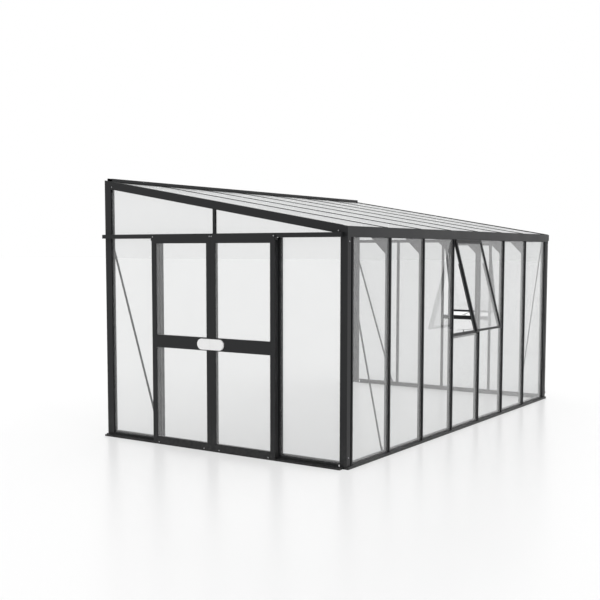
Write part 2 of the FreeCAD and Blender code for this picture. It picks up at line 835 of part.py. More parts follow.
def build_clips():
    """Two clips: a ring round the downpipe and a foot that holds it off the end of the house."""
    clips = []
    for step in (0, 1):
        z = "clip_low + %d * clip_spacing" % step
        ring = pipe_rod("clip_ring", "collar_radius", "clip_height", z)
        start = "pipe_back - clip_height / 2"
        arm = block("clip_arm", "end_x", start, z, "pipe_stand", "clip_height", "clip_height")
        hole = pipe_rod("clip_hole", "pipe_radius + pipe_fit", "clip_height", z)
        clips.append(cut("pipe_clip", join("clip_outside", [ring, arm]), hole))
    keep("downpipe_clips", group("downpipe_clips", clips))


def rafter_strip(name, side, inward, width, y_high, low, high):
    """One strip of an end rafter, whose outer face stands a distance inward of the end plane."""
    x = "%d * (end_x - (%s))" % (side, inward)
    if side > 0:
        x = x + " - (%s)" % width
    return slab(name, x, width, "gutter_width + seat_gap", y_high, low, high)


def build_rafters():
    """End rafters: two cheeks with a glass groove between them and a ledge for the roof panel."""
    ledge_end = "depth - hood_wall - seat_gap"
    strips = (
        ("0", "nose_depth", "depth", "rafter_low", "rafter_proud"),
        ("seat", "rafter_width - seat", "depth", "rafter_low", "rafter_proud"),
        ("nose_depth", "slot", "depth", "rafter_low + rebate", "rafter_proud"),
        ("rafter_width", "rafter_ledge", ledge_end, "-flange_low - flange_thickness", "-flange_low"),
    )
    rafters = []
    for side in (-1, 1):
        rafters.append(join("rafter_whole", [rafter_strip("rafter_strip", side, *strip) for strip in strips]))
    keep("end_rafters", group("end_rafters", rafters))


def build_roof_bars():
    """Six roof bars, each a cap, a web between panels, a flange under them and a leg below."""
    y_front = "gutter_width - gutter_back - roof_overhang"
    y_back = "depth - hood_wall - seat_gap"
    bars = []
    for index in range(1, int(dict(SIZES)["front_bays"])):
        x = front_x(index)
        strips = (
            ("cap", "roof_cap_width", y_front, "glass_gap", "roof_cap_height"),
            ("web", "roof_web", y_front, "-flange_low", "glass_gap"),
            ("flange", "roof_flange", "gutter_width - gutter_back", "-leg_top", "-flange_low"),
            ("leg", "leg_thickness", "gutter_width + seat_gap", "-leg_top - roof_leg_depth", "-leg_top"),
        )
        pieces = []
        for name, width, start, low, high in strips:
            pieces.append(slab("roof_%s" % name, "%s - %s / 2" % (x, width), width, start, y_back, low, high))
        bars.append(join("roof_bar", pieces))
    keep("roof_bars", group("roof_bars", bars))


def build_roof_panels():
    """Seven roof panels, which reach from over the gutter to under the wall rail."""
    bays = int(dict(SIZES)["front_bays"])
    y_front = "gutter_width - gutter_back - roof_overhang"
    y_back = "depth - hood_wall - section_wall"
    panels = []
    for index in range(bays):
        low = front_x(index) + " + roof_web / 2 + glass_side_gap"
        high = front_x(index + 1) + " - roof_web / 2 - glass_side_gap"
        if index == 0:
            low = "rafter_width + glass_side_gap - end_x"
        if index == bays - 1:
            high = "end_x - rafter_width - glass_side_gap"
        width = "(%s) - (%s)" % (high, low)
        under = "-roof_panel - glass_gap"
        panels.append(slab("roof_panel", low, width, y_front, y_back, under, "-glass_gap"))
    keep("roof_panels", group("roof_panels", panels))


def build_wall_rail():
    """Rail along the wall: a back plate with fixing holes and a hood over the panels' top ends."""
    outline = [
        ("-hood_depth", "-hood_height"),
        ("-hood_depth", "0"),
        ("0", "0"),
        ("0", "-hood_back"),
        ("-hood_wall", "-hood_back"),
        ("-hood_wall", "-hood_wall"),
        ("hood_wall - hood_depth", "-hood_wall"),
        ("hood_wall - hood_depth", "-hood_height"),
    ]
    rail = extrusion("wall_rail_bare", "YZ_Plane", [outline], "2 * (rail_half - seat_gap)")
    place(rail, "seat_gap - rail_half", "depth", "rail_top")
    holes = []
    for spacing in ("rail_hole_outer", "rail_hole_inner"):
        for sign in (-1, 1):
            x = "%d * %s / 2" % (sign, spacing)
            y = "depth + hood_wall"
            z = "rail_top - hood_back + rail_hole_height"
            holes.append(rod("rail_hole", "wall_hole_radius", "3 * hood_wall", x, y, z, roll=90))
    keep("wall_rail", cut("wall_rail_cut", rail, *holes))


def build_front_panes():
    """Front panes, one to a bay; the middle bay's pane stops under its transom."""
    bays = int(dict(SIZES)["front_bays"])
    panes = []
    for index in range(bays):
        x = front_x(index) + " + glass_edge"
        top = "low_pane_top" if index == bays // 2 else "pane_top"
        size = ("bay_pitch - 2 * glass_edge", "glass_thickness", top + " - front_pane_low")
        panes.append(block("front_pane", x, "glass_front", "front_pane_low", *size))
    keep("front_panes", group("front_panes", panes))


def side_pane(name, side, low, high, top="pane_top"):
    """One upright pane in an end, between two webs; each edge stands off its web."""
    y = "(%s) + glass_edge" % low
    width = "(%s) - (%s) - 2 * glass_edge" % (high, low)
    height = top + " - pane_low"
    return end_block(name, side, "glass_front", y, "pane_low", "glass_thickness", width, height)


def build_end_panes():
    """Panes below and above the tie bar in both ends."""
    pane_space = above_rafters("pane_space", "rafter_low + rebate - glass_top_gap")
    meet = "((tie_top - roof_front_height - rafter_low) / roof_slope)"
    spans = (
        (meet + " - rebate", "side_middle - glass_edge"),
        ("side_middle + glass_edge", "wall_web - glass_edge"),
    )
    for label, side in (("door_end_panes", -1), ("far_end_panes", 1)):
        first = side_y(1) if side > 0 else jamb_y(1)
        panes = [
            side_pane(label + "_front", side, "gutter_width + seat_gap - glass_edge", first),
            side_pane(label + "_back", side, side_y(3), "wall_web"),
        ]
        if side > 0:
            panes.append(side_pane(label + "_low", side, side_y(1), side_y(2), "low_pane_top"))
            panes.append(side_pane(label + "_middle", side, side_y(2), side_y(3)))
        for low, high in spans:
            width = "(%s) - (%s)" % (high, low)
            size = ("glass_thickness", width, "rail_top - tie_top")
            z = "tie_top - rebate + seat_gap"
            bare = end_block(label + "_top", side, "glass_front", low, z, *size)
            panes.append(cut(label + "_top_cut", bare, pane_space))
        keep(label, group(label, panes))


def brace_outline(run, sill_top):
    """A flat strip that leans across a bay, from under the head to just above the sill."""
    top = "head_height - seat_gap"
    foot = sill_top + " + seat_gap"
    return [
        ("0", top),
        ("brace_width", top),
        (run, foot),
        (run + " - brace_width", foot),
    ]


def build_braces():
    """Four flat diagonal braces, two in the front and one in each end; each laps a post's leg."""
    braces = []
    run = "(bay_pitch + brace_front_lap - brace_front_stop)"
    behind = "corner_web + leg_thickness / 2 + seat_gap + brace_thickness"
    for side in (1, -1):
        outline = mirrored(brace_outline(run, "front_sill_height"), side)
        body = extrusion("front_brace", "XZ_Plane", [outline], "brace_thickness")
        x = "%d * (run_half + brace_front_lap)" % -side
        braces.append(place(body, x, behind))
    run = "(wall_web + brace_end_lap - (%s) - brace_end_stop)" % side_y(3)
    for side in (-1, 1):
        outline = mirrored(brace_outline(run, "sill_height"), -1)
        body = extrusion("end_brace", "YZ_Plane", [outline], "brace_thickness")
        x = "%d * (end_x - bar_depth - seat_gap)" % side
        if side > 0:
            x = x + " - brace_thickness"
        braces.append(place(body, x, "wall_web + brace_end_lap"))
    keep("diagonal_braces", group("diagonal_braces", braces))


def build_gussets():
    """Knee gussets, one beside each inner frame, lapping the front bar's and roof bar's legs."""
    lap_front = "bar_depth - gusset_lap"
    under = "-leg_top - roof_leg_depth"
    outline = [
        (lap_front, "gusset_foot"),
        ("bar_depth", "gusset_foot"),
        ("gusset_reach", roof_z("gusset_reach", under)),
        ("gusset_reach", roof_z("gusset_reach", under + " + gusset_lap")),
        ("gutter_width + seat_gap", roof_z("gutter_width", under + " + gusset_lap")),
        ("gutter_width + seat_gap", "head_height - seat_gap"),
        (lap_front, "head_height - seat_gap"),
    ]
    plates = []
    for index in range(1, int(dict(SIZES)["front_bays"])):
        body = extrusion("gusset", "YZ_Plane", [outline], "gusset_thickness")
        plates.append(place(body, front_x(index) + " + leg_thickness / 2 + seat_gap / 2"))
    keep("knee_gussets", group("knee_gussets", plates))


def build_door_tracks():
    """Top track, a slotted channel for the rollers, and the threshold with its guide rib."""
    wall = "track_wall"
    inner = "track_face - track_wall"
    slot_low = "track_middle - track_slot / 2"
    slot_high = "track_middle + track_slot / 2"
    channel = [
        ("0", "0"),
        ("0", "track_height"),
        ("track_face", "track_height"),
        ("track_face", "0"),
        (slot_high, "0"),
        (slot_high, wall),
        (inner, wall),
        (inner, "track_height - track_wall"),
        (wall, "track_height - track_wall"),
        (wall, wall),
        (slot_low, wall),
        (slot_low, "0"),
    ]
    face = "-end_x - track_face"
    length = "track_back - track_front_end"
    body = extrusion("track_channel", "YZ_Plane", [channel], length)
    place(body, face, "track_back", "head_height", yaw=-90)
    ends = []
    for y in ("track_front_end", "track_back - track_wall"):
        ends.append(block("track_end_plate", face, y, "head_height", "track_face", wall, "track_height"))
    keep("door_top_track", join("door_top_track", [body] + ends))

    rib_top = "threshold_height + guide_rib_height"
    rib_low = "track_middle - guide_rib_thickness / 2"
    rib_high = "track_middle + guide_rib_thickness / 2"
    rail = [
        ("0", "0"),
        ("0", "threshold_height"),
        (rib_low, "threshold_height"),
        (rib_low, rib_top),
        (rib_high, rib_top),
        (rib_high, "threshold_height"),
        ("track_face", "threshold_height"),
        ("track_face", "0"),
    ]
    body = extrusion("threshold", "YZ_Plane", [rail], length)
    place(body, face, "track_back", 0, yaw=-90)
    low = jamb_y(1) + " + flange_width / 2 + seat_gap"
    width = "2 * side_pitch + jamb_shift - flange_width - 2 * seat_gap"
    plate = end_block("doorway_plate", -1, "0", low, 0, "bar_depth", width, "threshold_height")
    keep("door_threshold", group("door_threshold", [body, plate]))


def door_block(name, leaf, inward, along, z, thickness, width, height):
    """Make a box in a door leaf, from its outer face inward and from its meeting edge outward."""
    x = "(%s) - track_depth - end_x" % inward
    if leaf > 0:
        y = "door_meeting + door_gap / 2 + (%s)" % along
    else:
        y = "door_meeting - door_gap / 2 - (%s) - (%s)" % (along, width)
    return block(name, x, y, z, thickness, width, height)


def door_y(leaf, along):
    """Y of a distance outward from a leaf's meeting edge."""
    return "(door_meeting + %d * (door_gap / 2 + (%s)))" % (leaf, along)


def door_screws(leaf):
    """The four screws that hold a leaf's corners; the upper two only pass through the fascia."""
    screws = []
    face = "-end_x - track_depth"
    for along, z, length in (
        ("door_low_screw_near", "door_screw_low", "screw_length"),
        ("door_low_screw_far", "door_screw_low", "screw_length"),
        ("door_high_screw_near", "door_screw_high", "fascia"),
        ("door_high_screw_far", "door_screw_high", "fascia"),
    ):
        y = door_y(leaf, along)
        head = rod("door_screw_head", "screw_radius", "screw_head", face + " - screw_head", y, z, pitch=90)
        shank = rod("door_screw_shank", "screw_shank", length, face, y, z, pitch=90)
        screws.append(join("door_screw", [head, shank]))
    return screws


def door_rail(name, leaf, low, high):
    """One rail of a leaf, between its stiles."""
    span = "door_width - 2 * stile_width"
    return door_block(name, leaf, "0", "stile_width", low, "door_thickness", span, "%s - %s" % (high, low))


def door_strip(name, leaf, low, high):
    """A thin fascia over the whole width of a leaf."""
    return door_block(name, leaf, "0", "0", low, "fascia", "door_width", "%s - %s" % (high, low))


def build_door(prefix, leaf):
    """One door leaf; leaf is 1 for the one towards the wall and -1 for the one towards the front."""
    screws = keep(prefix + "_screws", group(prefix + "_screws", door_screws(leaf)))
    opening = "door_width - 2 * stile_width"
    slots = []
    panes = []
    for low, high in (("bottom_rail_top", "mid_rail_low"), ("mid_rail_top", "top_rail_low")):
        slots.append(door_block(
            prefix + "_slot", leaf, "door_glass_setback - glass_gap", "stile_width - rebate",
            low + " - rebate", "slot", opening + " + 2 * rebate", "%s - %s + 2 * rebate" % (high, low)))
        panes.append(door_block(
            prefix + "_pane", leaf, "door_glass_setback", "stile_width - rebate + glass_top_gap",
            low + " - rebate + seat_gap", "glass_thickness", opening + " + 2 * (rebate - glass_top_gap)",
            "%s - %s + 2 * rebate - glass_top_gap" % (high, low)))
    keep(prefix + "_panes", group(prefix + "_panes", panes))

    groove = door_block(
        prefix + "_groove", leaf, "guide_inward", "-door_gap", "fascia_foot",
        "guide_groove", "door_width + 2 * door_gap", "door_foot - fascia_foot + guide_groove_depth")
    bottom = join(prefix + "_bottom", [
        door_rail(prefix + "_bottom_rail", leaf, "door_foot", "bottom_rail_top"),
        door_strip(prefix + "_bottom_fascia", leaf, "fascia_foot", "door_foot"),
    ])
    middle = door_rail(prefix + "_mid_rail", leaf, "mid_rail_low", "mid_rail_top")
    top = join(prefix + "_top", [
        door_rail(prefix + "_top_rail", leaf, "top_rail_low", "top_rail_body"),
        door_strip(prefix + "_top_fascia", leaf, "top_rail_body", "tie_top"),
    ])
    stiles = []
    for along in ("0", "door_width - stile_width"):
        stiles.append(door_block(
            prefix + "_stile", leaf, "0", along, "door_foot", "door_thickness", "stile_width",
            "top_rail_body - door_foot"))
    hollows = group(prefix + "_hollows", slots + [groove, screws])
    members = [cut(prefix + "_member", bare, hollows) for bare in [bottom, middle, top] + stiles]
    keep(prefix + "_frame", group(prefix + "_frame", members))
    build_handle(prefix, leaf)
    build_rollers(prefix, leaf)
    keep(prefix + "_runners", group(prefix + "_runners", hangers(prefix, leaf) + guides(prefix, leaf)))


def build_handle(prefix, leaf):
    """Half of the round ended pull plate, on the leaf's meeting side."""
    radius = "handle_height / 2"
    face = "-end_x - track_depth - handle_thickness"
    plate = door_block(
        prefix + "_plate", leaf, "-handle_thickness", "0", "handle_middle - " + radius,
        "handle_thickness", "handle_length - " + radius, "handle_height")
    middle = door_y(leaf, "handle_length - " + radius)
    end = rod(prefix + "_round", radius, "handle_thickness", face, middle, "handle_middle", pitch=90)
    whole = join(prefix + "_pull_whole", [plate, end])
    rounded = doc.addObject("Part::Fillet", prefix + "_pull_round")
    rounded.Base = whole
    doc.recompute()
    front = value(face)
    size = value("handle_round")
    edges = []
    for number, edge in enumerate(whole.Shape.Edges, start=1):
        box = edge.BoundBox
        if max(abs(box.XMin - front), abs(box.XMax - front)) < size / 10:
            edges.append((number, size, size))
    rounded.Edges = edges
    keep(prefix + "_handle", rounded)


def guides(prefix, leaf):
    """Two bottom guides in a leaf's groove, each slotted to run along the threshold's rib."""
    made = []
    low = "threshold_height + guide_lift"
    slit_inward = "guide_inward + (guide_groove - guide_rib_thickness) / 2 - seat_gap"
    for along in ("guide_inset", "door_width - guide_inset - guide_length"):
        base = door_block(
            prefix + "_guide_bare", leaf, "guide_inward", along, low,
            "guide_groove", "guide_length", "door_foot + guide_groove_depth - (%s)" % low)
        slit = door_block(
            prefix + "_guide_slit", leaf, slit_inward, along + " - guide_lift", "threshold_height",
            "guide_rib_thickness + 2 * seat_gap", "guide_length + 2 * guide_lift",
            "guide_rib_height + seat_gap")
        made.append(cut(prefix + "_guide", base, slit))
    return made


def hangers(prefix, leaf):
    """Two hangers with holes for the rollers' axles, and the bumper beside the outer stile."""
    made = []
    inward = "track_setback + track_middle"
    for along in ("hanger_inset", "door_width - hanger_inset"):
        stem = door_block(
            prefix + "_stem", leaf, inward + " - hanger_thickness / 2", along + " - hanger_width / 2",
            "top_rail_body", "hanger_thickness", "hanger_width",
            "wheel_height + 3 * axle_radius - top_rail_body")
        start = "%s - track_depth - end_x - 1.5 * hanger_thickness" % inward
        hole = rod(
            prefix + "_axle_hole", "axle_radius + axle_clearance", "3 * hanger_thickness",
            start, door_y(leaf, along), "wheel_height", pitch=90)
        made.append(cut(prefix + "_hanger", stem, hole))
    made.append(door_block(
        prefix + "_bumper", leaf, "track_setback", "door_width", "top_rail_body - bumper_height",
        "door_thickness / 2", "bumper_length", "bumper_height"))
    return made


def build_rollers(prefix, leaf):
    """A pair of rollers on one axle at each hanger."""
    axis_x = "(track_setback + track_middle - track_depth - end_x)"
    for number, along in enumerate(("hanger_inset", "door_width - hanger_inset"), start=1):
        y = door_y(leaf, along)
        reach = "(wheel_gauge + wheel_width)"
        start = "%s - %s / 2" % (axis_x, reach)
        parts = [rod(prefix + "_axle", "axle_radius", reach, start, y, "wheel_height", pitch=90)]
        for side in (-1, 1):
            start = "%s + %d * wheel_gauge / 2 - wheel_width / 2" % (axis_x, side)
            size = ("wheel_radius", "wheel_width")
            parts.append(rod(prefix + "_wheel", *size, start, y, "wheel_height", pitch=90))
        keep("%s_roller_%d" % (prefix, number), join("%s_rollers_%d" % (prefix, number), parts))


def vent_frame(side):
    """Where a vent's own frame lies: its hinge line in the front or in the far end."""
    frame = {"x": "0", "y": "-vent_hinge_out", "z": "vent_hinge_height", "yaw": 0, "roll": "-vent_angle"}
    if side == "far":
        middle = "(%s + %s) / 2" % (side_y(1), side_y(2))
        frame.update(x="end_x + vent_hinge_out", y=middle, yaw=90)
    return frame


def vent_piece(obj, side):
    """Set a piece drawn about the hinge line, hanging shut, into its place in the house."""
    return place(obj, **vent_frame(side))


def build_vent(side):
    """One vent: its frame with stiffened stiles, its pane, seals and stay."""
    prefix = side + "_vent"
    half = "vent_width / 2"
    front = "-vent_proud"
    rail_top = "(vent_rail_lap - vent_knuckle_radius)"
    inner = "(vent_width - 2 * vent_rail + 2 * rebate)"
    glass_low = "(vent_rail - vent_height - rebate)"
    glass_high = "(%s - vent_rail + rebate)" % rail_top
    middle = "(vent_depth / 2 - vent_proud)"
    slot_space = block(
        prefix + "_slot", "-%s / 2" % inner, middle + " - slot / 2", glass_low,
        inner, "slot", "%s - %s" % (glass_high, glass_low))
    top_bare = block(
        prefix + "_top_bare", "-" + half, front, rail_top + " - vent_rail",
        "vent_width", "vent_depth", "vent_rail")
    length = "vent_knuckle_length"
    knuckle = rod(prefix + "_knuckle", "vent_knuckle_radius", length, "-%s / 2" % length, 0, 0, pitch=90)
    radius = "vent_pin_radius + vent_pin_clearance"
    bore = rod(prefix + "_bore", radius, "2 * vent_width", "-vent_width", 0, 0, pitch=90)
    top = cut(prefix + "_top", join(prefix + "_top_whole", [top_bare, knuckle]), bore, slot_space)
    bottom_bare = block(
        prefix + "_bottom_bare", "-" + half, front, "-vent_height", "vent_width", "vent_depth", "vent_rail")
    members = [top, cut(prefix + "_bottom", bottom_bare, slot_space)]

    stile_low = "(vent_rail - vent_height)"
    stile_height = "%s - vent_rail - %s" % (rail_top, stile_low)
    for sign in (-1, 1):
        x = "-" + half if sign < 0 else half + " - vent_rail"
        bare = block(prefix + "_stile_bare", x, front, stile_low, "vent_rail", "vent_depth", stile_height)
        edge = "vent_rail / 2 - " + half if sign < 0 else half + " - vent_rail"
        stiffener = block(
            prefix + "_stiffener", edge, "vent_depth - vent_proud", stile_low,
            "vent_rail / 2", "vent_stiffener", "-vent_stiffener_start - %s" % stile_low)
        members.append(cut(prefix + "_stile", join(prefix + "_stile_whole", [bare, stiffener]), slot_space))
    keep(prefix + "_frame", vent_piece(group(prefix + "_frame", members + stay_bracket(prefix)), side))

    pane = block(
        prefix + "_glass", "glass_top_gap - %s / 2" % inner, middle + " - glass_thickness / 2",
        glass_low + " + seat_gap", inner + " - 2 * glass_top_gap", "glass_thickness",
        "%s - %s - glass_top_gap" % (glass_high, glass_low))
    keep(prefix + "_pane", vent_piece(group(prefix + "_pane", [pane]), side))

    strips = []
    for x in ("-" + half, half + " - vent_seal"):
        strips.append(block(
            prefix + "_seal_strip", x, "vent_depth - vent_proud", "-vent_height",
            "vent_seal", "vent_seal", "vent_height - 2 * vent_rail"))
    keep(prefix + "_seals", vent_piece(group(prefix + "_seals", strips), side))
    build_stay(prefix, side)


def stay_bracket(prefix):
    """Two ears behind a vent's bottom rail and the pin between them that the stay turns on."""
    gap = "(stay_width / 2 + seat_gap)"
    reach = "vent_depth - vent_proud"
    parts = []
    for x in ("-%s - stay_ear" % gap, gap):
        parts.append(block(
            prefix + "_ear", x, reach, "-stay_drop - stay_width / 2", "stay_ear", "stay_width", "stay_width"))
    parts.append(rod(
        prefix + "_stay_pin", "stay_pin_radius", "2 * %s + 2 * stay_ear" % gap,
        "-%s - stay_ear" % gap, "stay_pin_out", "-stay_drop", pitch=90))
    return [join(prefix + "_stay_bracket", parts)]


def vent_hinge(prefix, side):
    """The hinge pin and the two lugs that hold it under the gutter or the tie bar."""
    frame = vent_frame(side)
    frame["roll"] = 0
    wall = "(vent_pin_radius + vent_lug_wall)"
    length = "(vent_knuckle_length + 2 * vent_lug + 2 * seat_gap)"
    parts = [rod(prefix + "_pin", "vent_pin_radius", length, "-%s / 2" % length, 0, 0, pitch=90)]
    for x in ("-%s / 2" % length, "%s / 2 - vent_lug" % length):
        parts.append(block(
            prefix + "_lug", x, "-" + wall, "-" + wall, "vent_lug",
            wall + " + vent_hinge_out + nose_depth / 2", wall + " + vent_hinge_drop - seat_gap"))
    return place(join(prefix + "_hinge", parts), **frame)


def build_stay(prefix, side):
    """A notched bar that turns on the vent's bracket and lies over the peg on the transom."""
    bar = block(
        prefix + "_stay_bar", "-stay_width / 2", 0, "-stay_thickness / 2",
        "stay_width", "stay_length", "stay_thickness")
    eye = rod(prefix + "_stay_eye", "stay_eye_radius", "stay_width", "-stay_width / 2", 0, 0, pitch=90)
    radius = "stay_pin_radius + axle_clearance"
    hole = rod(prefix + "_stay_hole", radius, "2 * stay_width", "-stay_width", 0, 0, pitch=90)
    notches = []
    for step in (1, 2, 3, 4):
        along = "stay_length - stay_tail - %d * stay_notch_pitch" % step
        radius = "peg_radius + seat_gap"
        length = "3 * stay_thickness"
        notches.append(rod(prefix + "_notch", radius, length, 0, along, "-%s / 2" % length))
    stay = cut(prefix + "_stay", join(prefix + "_stay_whole", [bar, eye]), hole, *notches)
    y = "(stay_pin_out * cos(vent_angle) - stay_drop * sin(vent_angle) - vent_hinge_out)"
    z = "(vent_hinge_height - stay_pin_out * sin(vent_angle) - stay_drop * cos(vent_angle))"
    frame = vent_frame(side)
    frame["z"] = z
    frame["roll"] = "atan(stay_pin_out / stay_drop) - vent_angle / 2 * 1 deg"
    if side == "front":
        frame["y"] = y
    else:
        frame["x"] = "end_x - %s" % y
    keep(prefix + "_stay", place(stay, **frame))


def vent_transom(prefix, side):
    """The bar under a vent, with the glass groove below it and the stay's peg on top."""
    pitch = "bay_pitch" if side == "front" else "side_pitch"
    wide = "(%s - bar_width - 2 * seat_gap)" % pitch
    narrow = "(%s - flange_width - 2 * seat_gap)" % pitch
    parts = [
        block(prefix + "_cap", "-%s / 2" % wide, 0, "-transom_cap", wide, "nose_depth", "transom_cap"),
        block(
            prefix + "_neck", "-%s / 2" % narrow, "nose_depth", "rebate - transom_cap",
            narrow, "slot", "transom_cap - rebate"),
        block(
            prefix + "_back", "-%s / 2" % narrow, "seat", "-transom_height",
            narrow, "transom_depth - seat", "transom_height"),
        rod(prefix + "_peg", "peg_radius", "peg_height", 0, "peg_back", 0),
    ]
    frame = vent_frame(side)
    frame["roll"] = 0
    frame["z"] = "transom_top"
    if side == "front":
        frame["y"] = "0"
    else:
        frame["x"] = "end_x"
    return place(join(prefix + "_transom", parts), **frame)


def build_vent_fixings():
    """The hinge pins with their lugs and the transoms, which stay on the frame of the house."""
    sides = ("front", "far")
    keep("vent_hinges", group("vent_hinges", [vent_hinge(side + "_vent", side) for side in sides]))
    keep("vent_transoms", group("vent_transoms", [vent_transom(side + "_vent", side) for side in sides]))


def build_frame_screws():
    """Screw heads on the end rafters' outer cheeks and on the corner posts' fronts."""
    heads = []
    for side in (-1, 1):
        for y in ("rafter_screw_back", "depth - rafter_screw_back"):
            z = roof_z(y, "-rafter_screw_drop")
            x = "%d * (end_x + screw_head)" % side
            heads.append(rod("rafter_screw", "screw_radius", "screw_head", x, y, z, pitch=-90 * side))
        for z in ("post_screw_low", "head_height - post_screw_drop"):
            x = "%d * (end_x - post_screw_side)" % side
            heads.append(rod("post_screw", "screw_radius", "screw_head", x, 0, z, roll=90))
    keep("frame_screws", group("frame_screws", heads))


def check_and_write():
    """Stop on any failed object, then write each piece to its own file."""
    doc.recompute()
    for obj in doc.Objects:
        if "Invalid" in obj.State or "Error" in obj.State:
            raise RuntimeError("%s did not recompute: %s" % (obj.Name, obj.State))
    os.makedirs("parts", exist_ok=True)
    for label, obj in NODES.items():
        shape = obj.Shape
        if shape.isNull() or not shape.isValid():
            raise RuntimeError("%s has no valid shape" % label)
        shape.exportStep(os.path.join("parts", label + ".step"))
        print("%-24s %2d solids %10.0f mm3" % (label, len(shape.Solids), shape.Volume))


fill_sheet()
build_sills()
build_corner_posts()
space = build_roof_space()
build_wall_posts(space)
build_front_bars()
build_end_bars()
build_ties(space)
build_gutter()
build_drain()
build_shoe()
build_clips()
build_rafters()
build_roof_bars()
build_roof_panels()
build_wall_rail()
build_front_panes()
build_end_panes()
build_braces()
build_gussets()
build_door_tracks()
build_door("left_door", 1)
build_door("right_door", -1)
build_vent("front")
build_vent("far")
build_vent_fixings()
build_frame_screws()
check_and_write()
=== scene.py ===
import json
import logging
import math
from dataclasses import dataclass, field
from enum import Enum
from typing import Callable, Iterable

import bmesh
import bpy
from mathutils import Matrix, Vector

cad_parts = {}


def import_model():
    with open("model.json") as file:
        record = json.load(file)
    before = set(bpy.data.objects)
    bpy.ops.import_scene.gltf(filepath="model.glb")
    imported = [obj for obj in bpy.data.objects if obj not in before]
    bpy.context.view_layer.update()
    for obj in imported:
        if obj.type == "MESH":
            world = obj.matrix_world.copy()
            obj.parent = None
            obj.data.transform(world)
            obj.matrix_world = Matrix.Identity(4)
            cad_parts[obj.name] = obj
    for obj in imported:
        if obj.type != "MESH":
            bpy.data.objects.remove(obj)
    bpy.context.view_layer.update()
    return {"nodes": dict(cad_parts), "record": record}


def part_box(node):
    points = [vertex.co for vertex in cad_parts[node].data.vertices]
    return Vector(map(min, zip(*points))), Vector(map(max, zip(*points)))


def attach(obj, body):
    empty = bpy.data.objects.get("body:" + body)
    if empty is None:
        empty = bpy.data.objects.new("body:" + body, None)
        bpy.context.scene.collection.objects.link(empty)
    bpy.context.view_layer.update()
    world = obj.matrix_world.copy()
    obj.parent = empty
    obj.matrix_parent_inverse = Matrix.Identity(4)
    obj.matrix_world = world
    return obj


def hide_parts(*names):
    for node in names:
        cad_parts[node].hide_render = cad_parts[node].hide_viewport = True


LOG = logging.getLogger("greenhouse")
MM = 0.001
ROOF_SLOPE = 526.0 / 3052.0
FINE_EDGE = 0.6 * MM

Corners = tuple[Vector, Vector]
Colour = tuple[float, float, float]
Socket = bpy.types.NodeSocket
Source = Socket | float | tuple[float, ...]


class Slot(Enum):
    """The finishes of the house, by the name of their material slot."""

    FRAME = "frame_metal"
    GLASS = "clear_glass"
    ROOF = "roof_sheet"
    HANDLE = "white_handle"
    SCREW = "screw_steel"
    SEAL = "seal_rubber"
    RUNNER = "black_plastic"
    DRAIN = "drain_plastic"


class Axis(Enum):
    """The three axes of the house, as indices into a vector."""

    X = 0
    Y = 1
    Z = 2


class Facing(Enum):
    """The ways that an upright face of the house can look."""

    FRONT = (0, -1, 0)
    BACK = (0, 1, 0)
    DOOR_END = (-1, 0, 0)
    FAR_END = (1, 0, 0)

    @property
    def vector(self) -> Vector:
        """The way as a vector of length one."""
        return Vector(self.value)


class NodeSheet:
    """A shader node tree with short calls for adding and joining nodes."""

    def __init__(self, tree: bpy.types.NodeTree) -> None:
        """Keep the tree.

        Args:
            tree: the node tree of a material, a world or a group.
        """
        self.tree = tree

    def feed(self, source: Source, target: Socket) -> None:
        """Join an output to an input, or set the input to a plain value.

        Args:
            source: a socket, a number or a colour.
            target: the input.
        """
        if isinstance(source, Socket):
            self.tree.links.new(source, target)
        else:
            target.default_value = source

    def add(self, kind: str, inputs: dict[str | int, Source] | None = None,
            **settings: object) -> bpy.types.Node:
        """Add a node, set its properties and feed its inputs.

        Args:
            kind: the node's type name.
            inputs: what feeds each input, by the input's name or place.
            settings: properties of the node.

        Returns:
            The new node.
        """
        node = self.tree.nodes.new(kind)
        for name, value in settings.items():
            setattr(node, name, value)
        for name, source in (inputs or {}).items():
            self.feed(source, node.inputs[name])
        return node

    def calculate(self, kind: str, first: Source, second: Source) -> Socket:
        """Do one step of arithmetic.

        Args:
            kind: the Math node's operation.
            first: a socket or a number.
            second: a socket or a number.

        Returns:
            The result's socket.
        """
        return self.add("ShaderNodeMath", {0: first, 1: second}, operation=kind).outputs[0]

    def spread(self, value: Socket, low: float, high: float, start: float = 0.0,
               stop: float = 1.0) -> Socket:
        """Map a value from one range to another, clamped.

        Args:
            value: the value's socket.
            low: the result at start.
            high: the result at stop.
            start: where the range starts.
            stop: where the range stops.

        Returns:
            The result's socket.
        """
        inputs = {"Value": value, "From Min": start, "From Max": stop, "To Min": low,
                  "To Max": high}
        return self.add("ShaderNodeMapRange", inputs).outputs["Result"]

    def mix(self, share: Socket, first: Source, second: Source) -> Socket:
        """Mix two colours.

        Args:
            share: the socket of a mask; 0 gives the first colour and 1 the second.
            first: a socket or a colour.
            second: a socket or a colour.

        Returns:
            The mixed colour's socket.
        """
        inputs = {"Factor": share, "A": first, "B": second}
        return self.add("ShaderNodeMix", inputs, data_type="RGBA").outputs["Result"]

    def noise(self, place: Socket, scale: Source, detail: float) -> Socket:
        """Add soft noise.

        Args:
            place: the point on the surface.
            scale: how fine the noise is.
            detail: how many finer layers it has.

        Returns:
            The noise's socket.
        """
        inputs = {"Vector": place, "Scale": scale, "Detail": detail}
        return self.add("ShaderNodeTexNoise", inputs).outputs["Fac"]

    def part(self, vector: Socket, axis: Axis) -> Socket:
        """Take the part of a vector that lies along an axis."""
        return self.add("ShaderNodeSeparateXYZ", {0: vector}).outputs[axis.value]

    def bump(self, height: Socket, distance: float) -> Socket:
        """Turn a height into a normal."""
        inputs = {"Height": height, "Distance": distance}
        return self.add("ShaderNodeBump", inputs).outputs["Normal"]


